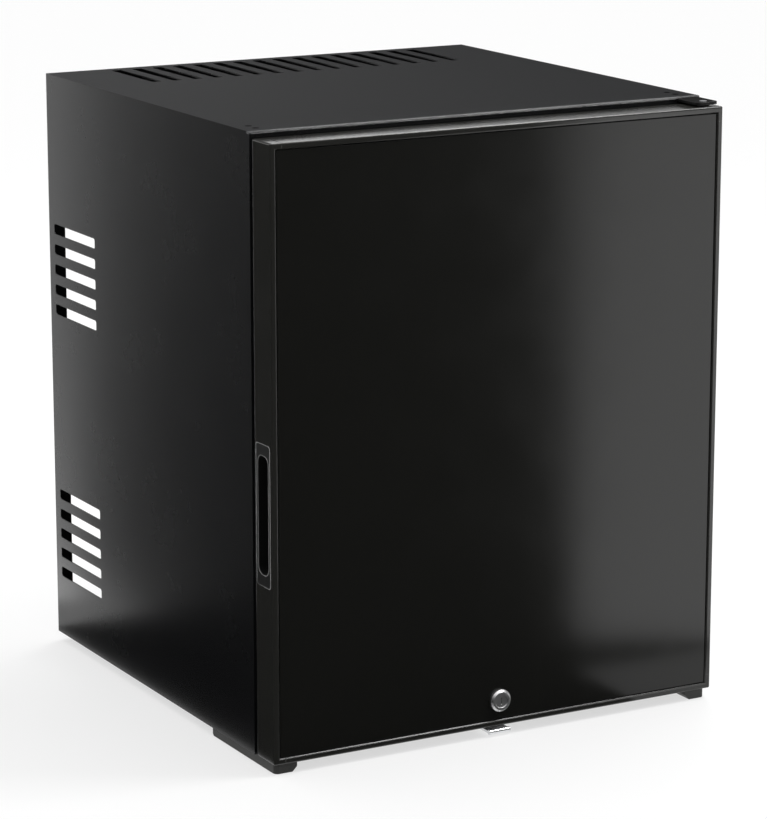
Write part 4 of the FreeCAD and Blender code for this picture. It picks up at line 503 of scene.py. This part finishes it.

# %% [markdown]
# The door has a smooth frame that mirrors most, a satin panel set into it, a handle cup with polished rims and a
# chromed lock. The frame is smoother than the panel, which is why it draws the bright lines; the light edge colour of
# the frame's front edges and of the cup's rims adds a painted highlight to them.

# %% Door finishes
finishes.update({
    # The frame's lighter edge colour is a painted highlight on its front edges.
    "door_frame_plastic": finish("satin_black_frame", "pebble", (0.017, 0.017, 0.0155), 0.16, gloss=0.45, scale=2200.0,
                                 depth=0.000008, spread=0.03, shade=0.05, edge=(0.0010, 0.7), wear_and_highlight=(0.05, 0.05, 0.047)),
    "door_panel_black": finish("satin_black_panel", "peel", (0.0085, 0.0085, 0.0075), 0.20, gloss=0.35, scale=1800.0,
                               depth=0.000008, spread=0.02, shade=0.05, edge=(0.0004, 0.4), wear_and_highlight=(0.05, 0.05, 0.05)),
    "seal_rubber": finish("soft_seal", "pebble", (0.03, 0.03, 0.03), 0.6, gloss=0.35, scale=900.0, depth=0.00004),
    "magnet": finish("bonded_magnet", "cells", (0.06, 0.05, 0.045), 0.6, gloss=0.3, scale=1500.0, depth=0.00003),
    # The handle cup's pale edge colour is a painted highlight along its rims.
    "handle_plastic": finish("moulded_handle_cup", "pebble", (0.006, 0.006, 0.006), 0.34, gloss=0.35, scale=1800.0,
                             depth=0.00002, edge=(0.0013, 1.0), wear_and_highlight=(0.45, 0.45, 0.45)),
    "bush_plastic": finish("turned_nylon", "drawn", (0.70, 0.69, 0.64), 0.45, scale=1500.0, stretch=(1.0, 1.0, 0.05)),
    "lock_chrome": finish("polished_chrome", "drawn", (0.80, 0.80, 0.80), 0.38, metal=1.0, scale=900.0,
                          spread=0.05, shade=0.04, depth=0.000003, edge=(0.0004, 0.3), wear_and_highlight=(0.9, 0.9, 0.9)),
})
print("finishes so far:", len(finishes))

# %% [markdown]
# The cabinet's upper front edge is a fold in the sheet, not a cut: it is rounder than the other edges, trays and hands
# keep it shiny, and its light edge colour is a painted highlight that draws the bright line along it. The cabinet's
# other edges and the vent slots are painted after bending and punching, and nothing rubs them; they get neither worn
# edge nor painted highlight. The door frame is much the same: hands reach its front edges and not the rear ones, and
# only the front edges get the worn edge and its painted highlight. A second finish for each could do that, but then the
# same paint would stand in two places; so the edge radius itself is switched off outside a zone of the object.

# %% Worn and painted-highlight zones
FOLD_FRONT = -0.1655
FOLD_LOW = 0.4916
DOOR_REAR = -0.185


def worn_zone(slot, *bounds):
    """Keeps a finish's worn, painted-highlight edges to a zone of the object: its own radius inside, none outside."""
    tree = finishes[slot].node_tree
    edges = next(node for node in tree.nodes if getattr(node, "node_tree", None) == edge_group)
    place = tree.nodes.new("ShaderNodeSeparateXYZ")
    wire(tree, tree.nodes["Texture Coordinate"].outputs["Object"], place.inputs[0])
    radius = edges.inputs["Radius"].default_value
    for axis, operation, limit in bounds:
        radius = maths(tree, "MULTIPLY", maths(tree, operation, place.outputs[axis], limit), radius)
    wire(tree, radius, edges.inputs["Radius"])
    print(slot, "is worn where", bounds)


# Only these zones get the rubbed edge with its painted highlight colour.
worn_zone("cabinet_paint", ("Y", "LESS_THAN", FOLD_FRONT), ("Z", "GREATER_THAN", FOLD_LOW))
worn_zone("door_frame_plastic", ("Y", "LESS_THAN", DOOR_REAR))

# %% [markdown]
# ## Dressing the solids
# The record lists which slot each solid takes its finish from, so the solids are dressed by that list. Only the
# material slots change: the meshes stay as they came.

# %% Dress every solid
for row in frame["record"]["subparts"]:
    solid = nodes[row["node"]]
    solid.data.materials.clear()
    solid.data.materials.append(finishes[row["material_slot"]])

# %% [markdown]
# ## The door seal
# The seal is an extruded rubber profile, mitred and welded into a ring: a wide foot that clips to the door liner, a
# fold on each side that lets it squash, and a flat crown with two fine grooves that meets the steel front. The solid
# model only holds its space. A path with a bevelled profile could make it, but the ring's corners would pinch, so each
# point of the profile becomes one rounded loop, smaller towards the middle, and each loop is bridged to the next. No
# two neighbours lie at quite the same level, because bridging takes its direction from the step between two loops.

# %% Seal profile and loops
SEAL_PROFILE = (
    (0.9, 0.0), (0.25, 0.15), (0.0, 0.6), (0.0, 1.2), (0.35, 1.65), (1.3, 1.95), (2.0, 2.3), (1.7, 2.65), (0.9, 2.95),
    (0.55, 3.35), (0.8, 3.72), (1.5, 3.86), (3.6, 3.9), (4.0, 3.74), (4.6, 3.72), (5.0, 3.88), (8.0, 3.9), (8.4, 3.74),
    (9.0, 3.72), (9.4, 3.88), (11.4, 3.86), (12.1, 3.7), (12.4, 3.35), (12.1, 2.95), (11.3, 2.65), (11.0, 2.3),
    (11.7, 1.95), (12.65, 1.65), (13.0, 1.2), (13.0, 0.6), (12.75, 0.15), (12.1, 0.03),
)
SEAL_CORNER = 22.0
MM = 0.001


def rounded_loop(mesh, low, high, inset, level):
    """One closed rounded outline of edges, upright, at a distance inside the seal's outer box."""
    half_x = (high[0] - low[0]) / 2 - inset
    half_z = (high[2] - low[2]) / 2 - inset
    place = Matrix.Translation(((low[0] + high[0]) / 2, level, (low[2] + high[2]) / 2))
    upright = place @ Matrix.Rotation(math.pi / 2, 4, "X") @ Matrix.Diagonal((half_x, half_z, 1.0, 1.0))
    corners = bmesh.ops.create_grid(mesh, x_segments=1, y_segments=1, size=1.0, matrix=upright)["verts"]
    bmesh.ops.bevel(mesh, geom=corners, offset=SEAL_CORNER * MM - inset, offset_type="OFFSET", segments=8, profile=0.5,
                    affect="VERTICES", material=-1)
    (fill,) = mesh.faces
    outline = list(fill.edges)
    bmesh.ops.delete(mesh, geom=[fill], context="FACES_ONLY")
    return outline


seal_low, seal_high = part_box("door_gasket")
seal_mesh = bmesh.new()
loops = [rounded_loop(seal_mesh, seal_low, seal_high, across * MM, seal_low[1] + along * MM)
         for across, along in SEAL_PROFILE]
for first, second in zip(loops, loops[1:] + loops[:1]):
    bmesh.ops.bridge_loops(seal_mesh, edges=first + second)
bmesh.ops.recalc_face_normals(seal_mesh, faces=seal_mesh.faces)
print("seal loops:", len(loops), "faces:", len(seal_mesh.faces))

# %% [markdown]
# A piece made here needs what the solids brought with them: a finish by its slot, and a body of the assembly to ride
# on, so that it moves with the joints. The seal rides on the door and stands in for the plain solid, which would
# otherwise show through its folds.

# %% Seal on the door
def piece_from(name, shape, slot, body, smooth):
    """Turns a bmesh into a finished piece that takes a slot's finish and rides on a body."""
    for face in shape.faces:
        face.smooth = smooth
    mesh = bpy.data.meshes.new(name)
    shape.to_mesh(mesh)
    shape.free()
    mesh.materials.append(finishes[slot])
    piece = bpy.data.objects.new(name, mesh)
    scene.collection.objects.link(piece)
    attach(piece, body)
    return piece


seal = piece_from("seal_bellows", seal_mesh, "seal_rubber", "door", True)
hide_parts("door_gasket")
print("seal triangles:", sum(len(face.vertices) - 2 for face in seal.data.polygons))

# %% [markdown]
# ## The thermostat's marks
# The knob hangs under the control housing, so its scale is printed on the housing's underside and is read from below.
# The scale starts where the grip points at rest and follows the joint's own axis and range. The strokes are small bars
# with eased edges, one for each step of the turn; a line drawn in the material would not be part of the mesh.

# %% Dial strokes
STEPS = 6
PRINT = 0.00015
STROKE_LENGTH = 0.0036
STROKE_WIDTH = 0.0007
STROKE_RADIUS = 0.0148
knob_low, knob_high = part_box("thermostat_knob")
housing_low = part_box("control_housing")[0]
dial_centre = Vector(((knob_low[0] + knob_high[0]) / 2, (knob_low[1] + knob_high[1]) / 2, housing_low[2]))
print_middle = Vector((0.0, 0.0, -PRINT / 2))
thermostat = next(row for row in frame["record"]["behaviour"]["joints"] if row["name"] == "thermostat_turn")
dial_sweep = thermostat["axis"][2] * math.radians(thermostat["range_deg"][1])
print("the dial sweeps", round(math.degrees(dial_sweep)), "degrees round +Z")


def dial_direction(step):
    angle = math.pi + dial_sweep * step / STEPS
    return Vector((math.cos(angle), math.sin(angle), 0.0))


dial_mesh = bmesh.new()
stroke_size = Matrix.Diagonal((STROKE_LENGTH, STROKE_WIDTH, PRINT, 1.0))
for step in range(STEPS + 1):
    way = dial_direction(step)
    spot = Matrix.Translation(dial_centre + way * STROKE_RADIUS + print_middle)
    along = way.to_track_quat("X", "Z").to_matrix().to_4x4()
    bar = bmesh.ops.create_cube(dial_mesh, size=1.0, matrix=spot @ along @ stroke_size)["verts"]
    edges = list(dict.fromkeys(edge for vert in bar for edge in vert.link_edges))
    bmesh.ops.bevel(dial_mesh, geom=edges, offset=PRINT / 4, segments=2, profile=0.5, affect="EDGES", material=-1)
print("strokes:", STEPS + 1)

# %% [markdown]
# The numbers are made as text first, because a font gives good figures, and are turned into mesh, because a finished
# piece holds its place in its mesh. Text comes out with doubled points and a few triangles without area: the points are
# merged, the edges inside the flat faces are turned, and the normals are set outwards.

# %% Dial numbers
NUMBER_SIZE = 0.0046
NUMBER_RADIUS = 0.0196
MERGE = 0.000002
for step in range(STEPS + 1):
    words = bpy.data.curves.new(f"dial_{step}", "FONT")
    words.body = str(step)
    words.size = NUMBER_SIZE
    words.extrude = PRINT / 2
    words.align_x = "CENTER"
    words.align_y = "CENTER"
    holder = bpy.data.objects.new(f"dial_{step}", words)
    number = bpy.data.meshes.new_from_object(holder)
    spot = Matrix.Translation(dial_centre + dial_direction(step) * NUMBER_RADIUS + print_middle)
    number.transform(spot @ Matrix.Rotation(math.pi, 4, "X"))
    dial_mesh.from_mesh(number)
    bpy.data.objects.remove(holder)
    bpy.data.curves.remove(words)
    bpy.data.meshes.remove(number)
bmesh.ops.remove_doubles(dial_mesh, verts=dial_mesh.verts, dist=MERGE)
flats = [face for face in dial_mesh.faces if len({round(vert.co.z / MERGE) for vert in face.verts}) == 1]
flat_set = set(flats)
inner_edges = [edge for edge in dial_mesh.edges if flat_set.issuperset(edge.link_faces)]
bmesh.ops.beautify_fill(dial_mesh, faces=flats, edges=inner_edges, method="AREA")
bmesh.ops.recalc_face_normals(dial_mesh, faces=dial_mesh.faces)
piece_from("dial_marks", dial_mesh, "box_plastic", "cabinet", False)
print("numbers: 0 to", STEPS)
